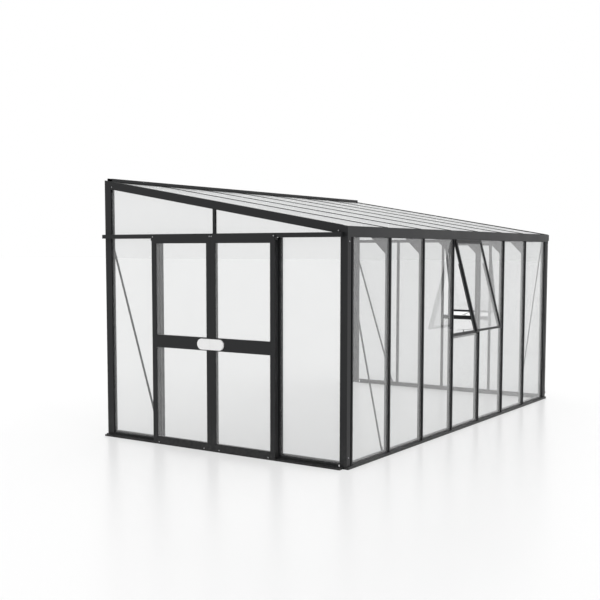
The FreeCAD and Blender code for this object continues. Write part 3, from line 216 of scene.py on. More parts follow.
class MaterialSheet(NodeSheet):
    """The nodes of a new material, round its Principled shader."""

    def __init__(self, name: str) -> None:
        """Start a material.

        Args:
            name: the material's name.
        """
        self.material = bpy.data.materials.new(name)
        self.material.use_nodes = True
        super().__init__(self.material.node_tree)
        self.shader = self.tree.nodes["Principled BSDF"]

    def place(self) -> Socket:
        """The point on the surface, which every pattern reads."""
        return self.add("ShaderNodeTexCoord").outputs["Object"]

    def finish(self, inputs: dict[str, Source]) -> bpy.types.Material:
        """Feed the shader.

        Args:
            inputs: a socket or a plain value for each of its inputs, by name.

        Returns:
            The material.
        """
        for name, source in inputs.items():
            self.feed(source, self.shader.inputs[name])
        return self.material

    def thin_shadow(self, shadow: float) -> Socket:
        """Let most of the light through in shadows alone.

        Args:
            shadow: how strong the shadow is, from 0 to 1.

        Returns:
            The socket for the shader's alpha.
        """
        light = self.add("ShaderNodeLightPath")
        return self.spread(light.outputs["Is Shadow Ray"], 1.0, shadow)


class SurfaceEffects:
    """Shader groups that more than one finish uses."""

    number: str = "NodeSocketFloat"
    vector: str = "NodeSocketVector"
    grain_detail: float = 2.0
    grain_share: float = 0.35
    patch_detail: float = 4.0
    patch_share: float = 0.65
    upward_from: float = 0.3
    upward_share: float = 0.6
    speckle_scale: float = 38.0
    speckle_detail: float = 6.0
    speckle_low: float = 0.35
    speckle_high: float = 0.75

    def __init__(self) -> None:
        """Build every group once."""
        self.grain = self._build_grain()
        self.dust = self._build_dust()

    @staticmethod
    def _new_group(name: str, inputs: dict[str, str],
                   outputs: dict[str, str]) -> tuple[NodeSheet, bpy.types.Node, bpy.types.Node]:
        """Start a group.

        Args:
            name: the group's name.
            inputs: the socket type of each input, by name.
            outputs: the socket type of each output, by name.

        Returns:
            A sheet on the group, its input node and its output node.
        """
        tree = bpy.data.node_groups.new(name, "ShaderNodeTree")
        for label, kind in inputs.items():
            tree.interface.new_socket(label, in_out="INPUT", socket_type=kind)
        for label, kind in outputs.items():
            tree.interface.new_socket(label, in_out="OUTPUT", socket_type=kind)
        sheet = NodeSheet(tree)
        return sheet, sheet.add("NodeGroupInput"), sheet.add("NodeGroupOutput")

    def _build_grain(self) -> bpy.types.NodeTree:
        """Build fine even grain with slow patches.

        Returns:
            A group that puts out a mask for tone and a height for bump.
        """
        sheet, start, end = self._new_group(
            "fine_grain",
            {"Vector": self.vector, "Grain Scale": self.number, "Patch Scale": self.number},
            {"Tone": self.number, "Height": self.number},
        )
        place = start.outputs["Vector"]
        grain = sheet.noise(place, start.outputs["Grain Scale"], self.grain_detail)
        patch = sheet.noise(place, start.outputs["Patch Scale"], self.patch_detail)
        tone = sheet.calculate("ADD", sheet.calculate("MULTIPLY", grain, self.grain_share),
                               sheet.calculate("MULTIPLY", patch, self.patch_share))
        sheet.feed(tone, end.inputs["Tone"])
        sheet.feed(grain, end.inputs["Height"])
        return sheet.tree

    def _build_dust(self) -> bpy.types.NodeTree:
        """Build pale dust that has settled low down and on faces that look upward.

        Returns:
            A group that puts out a mask.
        """
        sheet, start, end = self._new_group(
            "settled_dust",
            {"Vector": self.vector, "Reach": self.number, "Amount": self.number},
            {"Mask": self.number},
        )
        place = start.outputs["Vector"]
        height = sheet.calculate("DIVIDE", sheet.part(place, Axis.Z), start.outputs["Reach"])
        near_floor = sheet.spread(height, 1.0, 0.0)
        normal = sheet.add("ShaderNodeNewGeometry").outputs["Normal"]
        upward = sheet.spread(sheet.part(normal, Axis.Z), 0.0, 1.0, self.upward_from, 1.0)
        speckle = sheet.noise(place, self.speckle_scale, self.speckle_detail)
        patchy = sheet.spread(speckle, 0.0, 1.0, self.speckle_low, self.speckle_high)
        where = sheet.calculate("MAXIMUM", near_floor,
                                sheet.calculate("MULTIPLY", upward, self.upward_share))
        mask = sheet.calculate("MULTIPLY", sheet.calculate("MULTIPLY", where, patchy),
                               start.outputs["Amount"])
        sheet.feed(mask, end.inputs["Mask"])
        return sheet.tree


@dataclass(frozen=True)
class Finish:
    """A finish whose colour, roughness and bump vary with the shared grain and dust."""

    name: str
    colour: Colour
    roughness: float
    roughness_swing: float = 0.08
    tone_swing: float = 0.12
    tone_low: float = 0.3
    tone_high: float = 0.7
    metallic: float = 0.0
    specular: float = 0.5
    coat: float = 0.0
    grain_scale: float = 900.0
    patch_scale: float = 2.5
    bump_height: float = 0.02 * MM
    dust: float = 0.0
    dust_reach: float = 0.35
    dust_colour: Colour = (0.32, 0.31, 0.29)

    def make(self, effects: SurfaceEffects) -> bpy.types.Material:
        """Build the material.

        Args:
            effects: the shared shader groups.

        Returns:
            The material.
        """
        sheet = MaterialSheet(self.name)
        place = sheet.place()
        scales = {"Vector": place, "Grain Scale": self.grain_scale, "Patch Scale": self.patch_scale}
        grain = sheet.add("ShaderNodeGroup", scales, node_tree=effects.grain)
        tone = grain.outputs["Tone"]
        colour = sheet.mix(tone, self._shade(1.0 - self.tone_swing),
                           self._shade(1.0 + self.tone_swing))
        if self.dust > 0.0:
            reach = {"Vector": place, "Reach": self.dust_reach, "Amount": self.dust}
            dust = sheet.add("ShaderNodeGroup", reach, node_tree=effects.dust)
            colour = sheet.mix(dust.outputs["Mask"], colour, (*self.dust_colour, 1.0))
        return sheet.finish({
            "Base Color": colour,
            "Roughness": sheet.spread(tone, self.roughness - self.roughness_swing,
                                      self.roughness + self.roughness_swing,
                                      self.tone_low, self.tone_high),
            "Normal": sheet.bump(grain.outputs["Height"], self.bump_height),
            "Metallic": self.metallic,
            "Specular IOR Level": self.specular,
            "Coat Weight": self.coat,
        })

    def _shade(self, factor: float) -> tuple[float, float, float, float]:
        """The base colour, made darker or lighter."""
        red, green, blue = (min(1.0, part * factor) for part in self.colour)
        return (red, green, blue, 1.0)


@dataclass(frozen=True)
class GlassFinish:
    """Clear glass with a faint film and faint marks; its shadow is nearly clear."""

    name: str = "clear_glass"
    tint: Colour = (0.87, 0.875, 0.875)
    mark_tint: Colour = (0.85, 0.855, 0.855)
    mark_scale: float = 3.0
    mark_detail: float = 6.0
    clearness: float = 0.90
    shadow: float = 0.05
    index: float = 1.45

    def make(self) -> bpy.types.Material:
        """Build the material.

        Returns:
            The material.
        """
        sheet = MaterialSheet(self.name)
        marks = sheet.noise(sheet.place(), self.mark_scale, self.mark_detail)
        return sheet.finish({
            "Base Color": sheet.mix(marks, (*self.tint, 1.0), (*self.mark_tint, 1.0)),
            "Roughness": 0.0,
            "Transmission Weight": self.clearness,
            "IOR": self.index,
            "Alpha": sheet.thin_shadow(self.shadow),
        })


@dataclass(frozen=True)
class SheetFinish:
    """Milky twin wall sheet: long cells along the slope show as faint even lines."""

    name: str = "roof_sheet"
    cell_colour: Colour = (0.80, 0.81, 0.81)
    rib_colour: Colour = (0.62, 0.63, 0.63)
    cell_width: float = 10.5 * MM
    half_cell: float = 0.5
    rib_share: float = 0.09
    rib_bump: float = 0.3 * MM
    roughness: float = 0.30
    transmission: float = 0.35
    shadow: float = 0.30

    def make(self) -> bpy.types.Material:
        """Build the material.

        Returns:
            The material.
        """
        sheet = MaterialSheet(self.name)
        cells = sheet.calculate("DIVIDE", sheet.part(sheet.place(), Axis.X), self.cell_width)
        wave = sheet.calculate("PINGPONG", cells, self.half_cell)
        rib = sheet.spread(wave, 1.0, 0.0, 0.0, self.rib_share)
        return sheet.finish({
            "Base Color": sheet.mix(rib, (*self.cell_colour, 1.0), (*self.rib_colour, 1.0)),
            "Normal": sheet.bump(wave, self.rib_bump),
            "Roughness": self.roughness,
            "Transmission Weight": self.transmission,
            "Alpha": sheet.thin_shadow(self.shadow),
        })


class Palette:
    """Every finish of the house, ready to be put on."""

    def __init__(self) -> None:
        """Build the shared effects and each material."""
        effects = SurfaceEffects()
        plain = {
            Slot.FRAME: Finish("powder_coat", colour=(0.0150, 0.0155, 0.0165), roughness=0.42,
                               specular=0.24, dust=0.09, bump_height=0.06 * MM),
            Slot.HANDLE: Finish("white_pull", colour=(0.985, 0.985, 0.98), roughness=0.22,
                                tone_swing=0.005, coat=0.6, grain_scale=400.0),
            Slot.SCREW: Finish("plated_steel", colour=(0.52, 0.52, 0.53), roughness=0.34,
                               metallic=1.0, tone_swing=0.2, grain_scale=1500.0),
            Slot.SEAL: Finish("seal_rubber", colour=(0.085, 0.086, 0.088), roughness=0.62,
                              dust=0.12),
            Slot.RUNNER: Finish("runner_plastic", colour=(0.02, 0.02, 0.021), roughness=0.5),
            Slot.DRAIN: Finish("drain_plastic", colour=(0.012, 0.0125, 0.0135), roughness=0.55,
                               specular=0.2, dust=0.05, bump_height=0.05 * MM),
        }
        self.materials = {slot: finish.make(effects) for slot, finish in plain.items()}
        self.materials[Slot.GLASS] = GlassFinish().make()
        self.materials[Slot.ROOF] = SheetFinish().make()

    def dress(self, thing: bpy.types.Object, slot: Slot) -> None:
        """Put a finish on all of an object."""
        thing.data.materials.clear()
        thing.data.materials.append(self.materials[slot])


class SolidReader:
    """Reads where the separate solids of the frame's nodes are."""

    merge_distance: float = 0.01 * MM
    sort_digits: int = 4

    def __init__(self, nodes: dict[str, bpy.types.Object]) -> None:
        """Keep the frame's nodes by name."""
        self.nodes = nodes

    def boxes(self, node: str) -> list[Corners]:
        """Find the solids of a node.

        Args:
            node: the node's name.

        Returns:
            The lowest and highest corner of each solid, sorted by place.
        """
        mesh = bmesh.new()
        mesh.from_mesh(self.nodes[node].data)
        bmesh.ops.remove_doubles(mesh, verts=mesh.verts[:], dist=self.merge_distance)
        left = set(mesh.verts)
        found: list[Corners] = []
        for vert in mesh.verts:
            if vert not in left:
                continue
            solid = self._joined(vert, left)
            low = Vector(min(vert.co[axis.value] for vert in solid) for axis in Axis)
            high = Vector(max(vert.co[axis.value] for vert in solid) for axis in Axis)
            found.append((low, high))
        mesh.free()
        return sorted(found, key=lambda pair: [round(part, self.sort_digits) for part in pair[0]])

    @staticmethod
    def _joined(first: bmesh.types.BMVert,
                left: set[bmesh.types.BMVert]) -> list[bmesh.types.BMVert]:
        """Gather the vertices that edges join to a first one.

        Args:
            first: the vertex to start from.
            left: the vertices to choose from; those found are taken out of it.

        Returns:
            The vertices, the first among them.
        """
        left.discard(first)
        found = [first]
        waiting = [first]
        while waiting:
            here = waiting.pop()
            for edge in here.link_edges:
                other = edge.other_vert(here)
                if other in left:
                    left.discard(other)
                    waiting.append(other)
                    found.append(other)
        return found


class Workbench:
    """Builds one piece out of simple solids and puts it on a body of the house.

    end_facing tells the ends of a rod from its sides. A rounded rim has a middle step, which
    rim_inset and rim_drop place as shares of the rounding.
    """

    end_facing: float = 0.9
    rim_inset: float = 0.3447
    rim_drop: float = 0.2929

    def __init__(self, name: str, palette: Palette) -> None:
        """Start an empty piece.

        Args:
            name: the piece's name.
            palette: the finishes.
        """
        self.name = name
        self.palette = palette
        self.mesh = bmesh.new()

    def bar(self, low: Vector, high: Vector, bevel: float, segments: int = 1,
            turn: Matrix | None = None) -> None:
        """Add a box with eased edges.

        Args:
            low: its lowest corner.
            high: its highest corner.
            bevel: how far its edges are eased.
            segments: how many steps each eased edge has.
            turn: a matrix that moves the box before its edges are eased.
        """
        matrix = Matrix.Translation((low + high) / 2) @ Matrix.Diagonal((*(high - low), 1.0))
        made = bmesh.ops.create_cube(self.mesh, size=1.0, matrix=matrix)["verts"]
        if turn is not None:
            bmesh.ops.transform(self.mesh, matrix=turn, verts=made)
        edges = dict.fromkeys(edge for vert in made for edge in vert.link_edges)
        bmesh.ops.bevel(self.mesh, geom=list(edges), offset=bevel, segments=segments, profile=0.5,
                        affect="EDGES", material=-1, clamp_overlap=True)

    def rod(self, middle: Vector, axis: Vector, radius: float, length: float, sides: int,
            tip: float | None = None, rounding: float = 0.0) -> list[bmesh.types.BMFace]:
        """Add a cylinder, a prism or a cone, with its rims rounded in two steps.

        Args:
            middle: its middle.
            axis: the way it points.
            radius: its radius at the start.
            length: its length.
            sides: how many sides it has.
            tip: its radius at the end, or None for the same.
            rounding: how far the rims are rounded.

        Returns:
            Its two end faces.
        """
        turn = axis.to_track_quat("Z", "Y").to_matrix().to_4x4()
        made = bmesh.ops.create_cone(
            self.mesh, cap_ends=True, segments=sides, radius1=radius,
            radius2=radius if tip is None else tip, depth=length - 2 * rounding,
            matrix=Matrix.Translation(middle) @ turn)["verts"]
        faces = dict.fromkeys(face for vert in made for face in vert.link_faces)
        ends = [face for face in faces if abs(face.normal.dot(axis)) > self.end_facing]
        if rounding > 0.0:
            step, drop = rounding * self.rim_inset, rounding * self.rim_drop
            for inset, rise in ((step, rounding - drop), (rounding - step, drop)):
                bmesh.ops.inset_individual(self.mesh, faces=ends, thickness=inset, depth=rise,
                                           use_even_offset=True)
        return ends

    def socket(self, outward: Vector, ends: list[bmesh.types.BMFace], inset: float,
               depth: float) -> None:
        """Sink a recess into the end of a rod.

        Args:
            outward: the way that the end looks.
            ends: the rod's two end faces.
            inset: how far the recess stays from the rim.
            depth: how deep it is.
        """
        top = max(ends, key=lambda face: face.normal.dot(outward))
        bmesh.ops.inset_individual(self.mesh, faces=[top], thickness=inset)
        sunk = bmesh.ops.extrude_discrete_faces(self.mesh, faces=[top])["faces"][0]
        bmesh.ops.translate(self.mesh, verts=sunk.verts[:], vec=-outward * depth)

    def finish(self, body: str, slot: Slot) -> bpy.types.Object:
        """Close the piece and put it on its body.

        Args:
            body: the body that it moves with.
            slot: its finish.

        Returns:
            The piece.
        """
        bmesh.ops.recalc_face_normals(self.mesh, faces=self.mesh.faces[:])
        data = bpy.data.meshes.new(self.name)
        self.mesh.to_mesh(data)
        self.mesh.free()
        piece = bpy.data.objects.new(self.name, data)
        bpy.context.scene.collection.objects.link(piece)
        self.palette.dress(piece, slot)
        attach(piece, body)
        LOG.info("%s: %d faces on %s", self.name, len(data.polygons), body)
        return piece


@dataclass
class House:
    """What every sub-assembly needs: the frame's solids, the finishes and the fixed body."""

    reader: SolidReader
    palette: Palette
    body: str = "house"

    def bench(self, name: str) -> Workbench:
        """Start a new piece."""
        return Workbench(name, self.palette)


@dataclass
class GlazingSeals:
    """Thin rubber seals that frame the outer face of each pane."""

    house: House
    width: float = 3.0 * MM
    thickness: float = 2.0 * MM
    bevel: float = 0.7 * MM
    side_cover: float = 5.0 * MM
    end_cover: float = 6.0 * MM
    door_cover: float = 6.0 * MM
    level_room: float = 3.0 * MM

    def build(self) -> None:
        """Build the seals of the fixed panes and of the door leaves."""
        for name, node, facing in (
            ("front_seals", "front_panes", Facing.FRONT),
            ("door_end_seals", "door_end_panes", Facing.DOOR_END),
            ("far_end_seals", "far_end_panes", Facing.FAR_END),
        ):
            bench = self.house.bench(name)
            for low, high in self._upright(node):
                self._ring(bench, low, high, facing, self.side_cover, self.end_cover)
            bench.finish(self.house.body, Slot.SEAL)
        for leaf in ("left_door", "right_door"):
            bench = self.house.bench(leaf + "_seals")
            for low, high in self.house.reader.boxes(leaf + "_panes"):
                self._ring(bench, low, high, Facing.DOOR_END, self.door_cover, self.door_cover)
            bench.finish(leaf, Slot.SEAL)

    def _upright(self, node: str) -> list[Corners]:
        """Choose the rectangular panes; the sloped ones over the tie bar stay out.

        Args:
            node: the panes' node.

        Returns:
            The corners of the panes that stand on the sill.
        """
        boxes = self.house.reader.boxes(node)
        floor = min(low.z for low, _ in boxes)
        return [(low, high) for low, high in boxes if low.z < floor + self.level_room]

    def _ring(self, bench: Workbench, low: Vector, high: Vector, facing: Facing,
              side_cover: float, end_cover: float) -> None:
        """Frame a pane with four strips just in front of it.

        Args:
            bench: the piece under construction.
            low: the pane's lowest corner.
            high: the pane's highest corner.
            facing: the way the pane looks.
            side_cover: how much of each side edge the bars hide.
            end_cover: how much of the top and bottom edges is hidden.
        """
        across, depth = (Axis.X, Axis.Y) if facing is Facing.FRONT else (Axis.Y, Axis.X)
        sign = facing.vector[depth.value]
        face = high[depth.value] if sign > 0 else low[depth.value]
        near, far = sorted((face, face + sign * self.thickness))
        left, right = low[across.value] + side_cover, high[across.value] - side_cover
        foot, head = low.z + end_cover, high.z - end_cover
        for first, second, bottom, top in (
            (left, left + self.width, foot, head),
            (right - self.width, right, foot, head),
            (left + self.width, right - self.width, foot, foot + self.width),
            (left + self.width, right - self.width, head - self.width, head),
        ):
            start, stop = Vector((0, 0, bottom)), Vector((0, 0, top))
            start[across.value], stop[across.value] = first, second
            start[depth.value], stop[depth.value] = near, far
            bench.bar(start, stop, self.bevel)


@dataclass
class Screws:
    """Screws with a washer and a round recess, in place of the plain heads of the frame."""

    house: House
    washer_radius: float = 6.0 * MM
    washer_height: float = 0.9 * MM
    washer_sides: int = 28
    head_radius: float = 4.8 * MM
    head_height: float = 3.4 * MM
    head_sides: int = 24
    head_sink: float = 0.4 * MM
    crown_radius: float = 3.5 * MM
    recess_wall: float = 1.4 * MM
    recess_depth: float = 1.6 * MM
    flatness: float = 2.0

    def build(self) -> None:
        """Build the screws of the frame and of each door leaf."""
        for node, body in (("frame_screws", self.house.body), ("left_door_screws", "left_door"),
                           ("right_door_screws", "right_door")):
            bench = self.house.bench(node + "_detailed")
            for low, high in self.house.reader.boxes(node):
                self._screw(bench, low, high)
            piece = bench.finish(body, Slot.SCREW)
            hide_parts(node)

    def _screw(self, bench: Workbench, low: Vector, high: Vector) -> None:
        """Build one screw where a plain head is.

        A head that is flat along Y looks forward. The others look out of the gables.

        Args:
            bench: the piece under construction.
            low: the plain head's lowest corner.
            high: the plain head's highest corner.
        """
        size = high - low
        face = (low + high) / 2
        if self.flatness * size.y < min(size.x, size.z):
            outward, face.y = Facing.FRONT.vector, high.y
        elif face.x > 0:
            outward, face.x = Facing.FAR_END.vector, low.x
        else:
            outward = Facing.DOOR_END.vector
            face.x = low.x + min(size.x, self.head_height - self.head_sink)
        bench.rod(face + outward * self.washer_height / 2, outward, self.washer_radius,
                  self.washer_height, self.washer_sides)
        middle = self.washer_height + self.head_height / 2
        ends = bench.rod(face + outward * middle, outward, self.head_radius, self.head_height,
                         self.head_sides, self.crown_radius)
        bench.socket(outward, ends, self.recess_wall, self.recess_depth)


@dataclass
class JointBolts:
    """Bolts of the knee gussets and the braces, and the small angles at the braces' feet."""

    house: House
    radius: float = 5.8 * MM
    height: float = 4.2 * MM
    sides: int = 6
    rounding: float = 0.5 * MM
    washer_radius: float = 8.0 * MM
    washer_height: float = 1.2 * MM
    washer_sides: int = 20
    edge_distance: float = 13.0 * MM
    leg_steps: tuple[float, ...] = (0.030, 0.120)
    roof_steps: tuple[float, ...] = (0.022, 0.120, 0.205)
    brace_inset: float = 19.0 * MM
    cleat_reach: float = 26.0 * MM
    cleat_height: float = 34.0 * MM
    cleat_wall: float = 3.0 * MM

    def build(self) -> None:
        """Build the bolts and the angles."""
        self._on_each("gusset_bolts", "knee_gussets", self._gusset, Slot.SCREW)
        self._on_each("brace_bolts", "diagonal_braces", self._brace_ends, Slot.SCREW)
        self._on_each("brace_cleats", "diagonal_braces", self._cleat, Slot.FRAME)

    def _on_each(self, name: str, node: str, part: Callable[[Workbench, Vector, Vector], None],
                 slot: Slot) -> None:
        """Build one piece from the same part on each solid of a node.

        Args:
            name: the piece's name.
            node: the node whose solids carry the parts.
            part: the method that builds the part on a solid, given its corners.
            slot: the piece's finish.
        """
        bench = self.house.bench(name)
        for low, high in self.house.reader.boxes(node):
            part(bench, low, high)
        bench.finish(self.house.body, slot)

    def _gusset(self, bench: Workbench, low: Vector, high: Vector) -> None:
        """Bolt both arms of a gusset.

        Args:
            bench: the piece under construction.
            low: the gusset's lowest corner.
            high: the gusset's highest corner.
        """
        for step in self.leg_steps:
            place = Vector((high.x, low.y + self.edge_distance, low.z + step))
            self._bolt(bench, place, Facing.FAR_END.vector)
        for step in self.roof_steps:
            drop = self.edge_distance + step * ROOF_SLOPE
            self._bolt(bench, Vector((high.x, high.y - step, high.z - drop)), Facing.FAR_END.vector)

    def _brace_ends(self, bench: Workbench, low: Vector, high: Vector) -> None:
        """Bolt both ends of a brace, on the face that looks into the house.

        Args:
            bench: the piece under construction.
            low: the brace's lowest corner.
            high: the brace's highest corner.
        """
        sign, inset = self._side(low), self.brace_inset
        top, foot = high.z - self.edge_distance, low.z + self.edge_distance
        if self._at_front(low, high):
            outer, inner = (low.x, high.x) if sign > 0 else (high.x, low.x)
            for x, z in ((outer + sign * inset, top), (inner - sign * inset, foot)):
                self._bolt(bench, Vector((x, high.y, z)), Facing.BACK.vector)
            return
        face, facing = (high.x, Facing.FAR_END) if sign > 0 else (low.x, Facing.DOOR_END)
        for y, z in ((high.y - inset, top), (low.y + inset, foot)):
            self._bolt(bench, Vector((face, y, z)), facing.vector)

    def _cleat(self, bench: Workbench, low: Vector, high: Vector) -> None:
        """Add the small angle that ties a brace's foot to the ledge of the sill.

        Args:
            bench: the piece under construction.
            low: the brace's lowest corner.
            high: the brace's highest corner.
        """
        sign, wide = self._side(low), 2 * self.brace_inset
        plates = ((self.cleat_reach, self.cleat_wall), (self.cleat_wall, self.cleat_height))
        for reach, rise in plates:
            if self._at_front(low, high):
                near = high.x - wide if sign > 0 else low.x
                far, start, stop = near + wide, low.y - reach, low.y
            else:
                back = low.x if sign > 0 else high.x
                near, far = sorted((back - sign * reach, back))
                start, stop = low.y, low.y + wide
            bench.bar(Vector((near, start, low.z)), Vector((far, stop, low.z + rise)), FINE_EDGE)

    def _bolt(self, bench: Workbench, face: Vector, outward: Vector) -> None:
        """Add one bolt head on its washer.

        Args:
            bench: the piece under construction.
            face: the middle of the washer's foot.
            outward: the way the bolt's head looks.
        """
        bench.rod(face + outward * self.washer_height / 2, outward, self.washer_radius,
                  self.washer_height, self.washer_sides)
        middle = self.washer_height + self.height / 2
        bench.rod(face + outward * middle, outward, self.radius, self.height, self.sides,
                  rounding=self.rounding)

    @staticmethod
    def _side(low: Vector) -> int:
        """The sign of the way from a brace's end of the house to the middle."""
        return 1 if low.x < 0 else -1

    @staticmethod
    def _at_front(low: Vector, high: Vector) -> bool:
        """Whether a brace runs along the front and not along a gable."""
        return high.x - low.x > high.y - low.y


@dataclass
class RoofTrim:
    """End caps of the roof bars, edge profiles of the sheets and the seal on the rear rail."""

    house: House
    surface: float = 2237.0 * MM
    bar_half: float = 7.0 * MM
    cap_side: float = 2.5 * MM
    cap_overlap: float = 6.0 * MM
    cap_drop: float = 12.0 * MM
    cap_rise: float = 8.0 * MM
    cap_bevel: float = 1.5 * MM
    cap_steps: int = 2
    edge_inset: float = 3.0 * MM
    edge_front: float = 2.0 * MM
    edge_drop: float = 11.5 * MM
    edge_depth: float = 9.0 * MM
    edge_lip: float = 1.2 * MM
    seal_depth: float = 9.0 * MM
    seal_height: float = 5.0 * MM
    seal_bevel: float = 2.0 * MM
    seal_steps: int = 3

    def build(self) -> None:
        """Build all three."""
        self._bar_caps()
        self._sheet_edges()
        self._rail_seal()

    def _bar_caps(self) -> None:
        """Close the lower end of each roof bar."""
        half = self.bar_half + self.cap_side
        bench = self.house.bench("roof_bar_caps")
        for low, high in self.house.reader.boxes("roof_bars"):
            bench.bar(Vector((-half, -self.cap_side, -self.cap_drop)),
                      Vector((half, self.cap_overlap, self.cap_rise)),
                      self.cap_bevel, self.cap_steps, self._on_roof((low.x + high.x) / 2, low.y))
        bench.finish(self.house.body, Slot.RUNNER)

    def _sheet_edges(self) -> None:
        """Cover the lower edge of each roof sheet."""
        bench = self.house.bench("roof_sheet_edges")
        for low, high in self.house.reader.boxes("roof_panels"):
            bench.bar(Vector((low.x + self.edge_inset, -self.edge_front, -self.edge_drop)),
                      Vector((high.x - self.edge_inset, self.edge_depth, self.edge_lip)),
                      FINE_EDGE, turn=self._on_roof(0, low.y))
        bench.finish(self.house.body, Slot.SCREW)

    def _rail_seal(self) -> None:
        """Lay a seal along the back of the rear rail."""
        low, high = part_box("wall_rail")
        bench = self.house.bench("wall_flashing_seal")
        bench.bar(Vector((low.x, high.y - self.seal_depth, high.z)),
                  Vector((high.x, high.y, high.z + self.seal_height)),
                  self.seal_bevel, self.seal_steps)
        bench.finish(self.house.body, Slot.SEAL)

    def _on_roof(self, x: float, y: float) -> Matrix:
        """Find a place on the roof's surface.

        Args:
            x: how far along the house it is.
            y: how far from the front it is.

        Returns:
            A matrix that moves a shape there and tilts it with the roof.
        """
        pivot = Vector((x, y, self.surface + ROOF_SLOPE * y))
        return Matrix.Translation(pivot) @ Matrix.Rotation(math.atan(ROOF_SLOPE), 4, "X")


@dataclass
class DoorTrim:
    """Brushes and pads of the leaves, seals in the jambs' free grooves, and the ribbed tread."""

    house: House
    brush_start: float = 5.0 * MM
    brush_stop: float = 15.0 * MM
    brush_depth: float = 8.0 * MM
    brush_foot: float = 50.0 * MM
    brush_head: float = 60.0 * MM
    brush_bevel: float = 1.0 * MM
    pad_start: float = 1.0 * MM
    pad_stop: float = 12.0 * MM
    pad_inset: float = 5.0 * MM
    pad_height: float = 5.0 * MM
    pad_gap: float = 0.6 * MM
    pad_bevel: float = 0.5 * MM
    groove_start: float = 10.0 * MM
    groove_stop: float = 17.5 * MM
    groove_inset: float = 1.5 * MM
    groove_depth: float = 21.5 * MM
    groove_foot: float = 8.0 * MM
    groove_head: float = 4.0 * MM
    groove_bevel: float = 0.8 * MM
    rib_height: float = 1.6 * MM
    rib_width: float = 3.0 * MM
    rib_inset: float = 10.0 * MM
    ribs: int = 7

    def build(self) -> None:
        """Build the trim of both leaves, the jambs' seals and the tread."""
        self._leaf("left_door", 1)
        self._leaf("right_door", -1)
        self._jamb_seals()
        self._tread()

    def _leaf(self, leaf: str, sign: int) -> None:
        """Build a leaf's brush and its closing pad, both at its outer edge.

        Args:
            leaf: the leaf's body.
            sign: 1 where the outer edge is the one nearer the back, or else -1.
        """
        low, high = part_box(leaf + "_frame")
        outer = high.y if sign > 0 else low.y
        bench = self.house.bench(leaf + "_brushes")
        near, far = sorted((outer - sign * self.brush_start, outer - sign * self.brush_stop))
        bench.bar(Vector((high.x, near, low.z + self.brush_foot)),
                  Vector((high.x + self.brush_depth, far, high.z - self.brush_head)),
                  self.brush_bevel)
        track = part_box("door_top_track")[0].z
        near, far = sorted((outer - sign * self.pad_start, outer - sign * self.pad_stop))
        bench.bar(Vector((low.x + self.pad_inset, near, track - self.pad_height)),
                  Vector((high.x - self.pad_inset, far, track - self.pad_gap)), self.pad_bevel)
        bench.finish(leaf, Slot.SEAL)

    def _jamb_seals(self) -> None:
        """Fill the glass grooves that the jambs have on the side of the doorway."""
        bench = self.house.bench("jamb_groove_seals")
        jambs = self.house.reader.boxes("door_jambs")
        opening = sum((low.y + high.y) / 2 for low, high in jambs) / len(jambs)
        for low, high in jambs:
            middle = (low.y + high.y) / 2
            sign = 1 if middle < opening else -1
            near, far = sorted((middle + sign * self.groove_start,
                                middle + sign * self.groove_stop))
            bench.bar(Vector((low.x + self.groove_inset, near, low.z + self.groove_foot)),
                      Vector((low.x + self.groove_depth, far, high.z - self.groove_head)),
                      self.groove_bevel)
        bench.finish(self.house.body, Slot.SEAL)

    def _tread(self) -> None:
        """Rib the threshold's plate inside the doorway."""
        low, high = max(self.house.reader.boxes("door_threshold"), key=lambda pair: pair[1].x)
        bench = self.house.bench("doorway_tread")
        step = (high.x - low.x) / (self.ribs + 1)
        for index in range(1, self.ribs + 1):
            x = low.x + index * step
            bench.bar(Vector((x - self.rib_width / 2, low.y + self.rib_inset, high.z)),
                      Vector((x + self.rib_width / 2, high.y - self.rib_inset,
                              high.z + self.rib_height)), FINE_EDGE)
        bench.finish(self.house.body, Slot.FRAME)


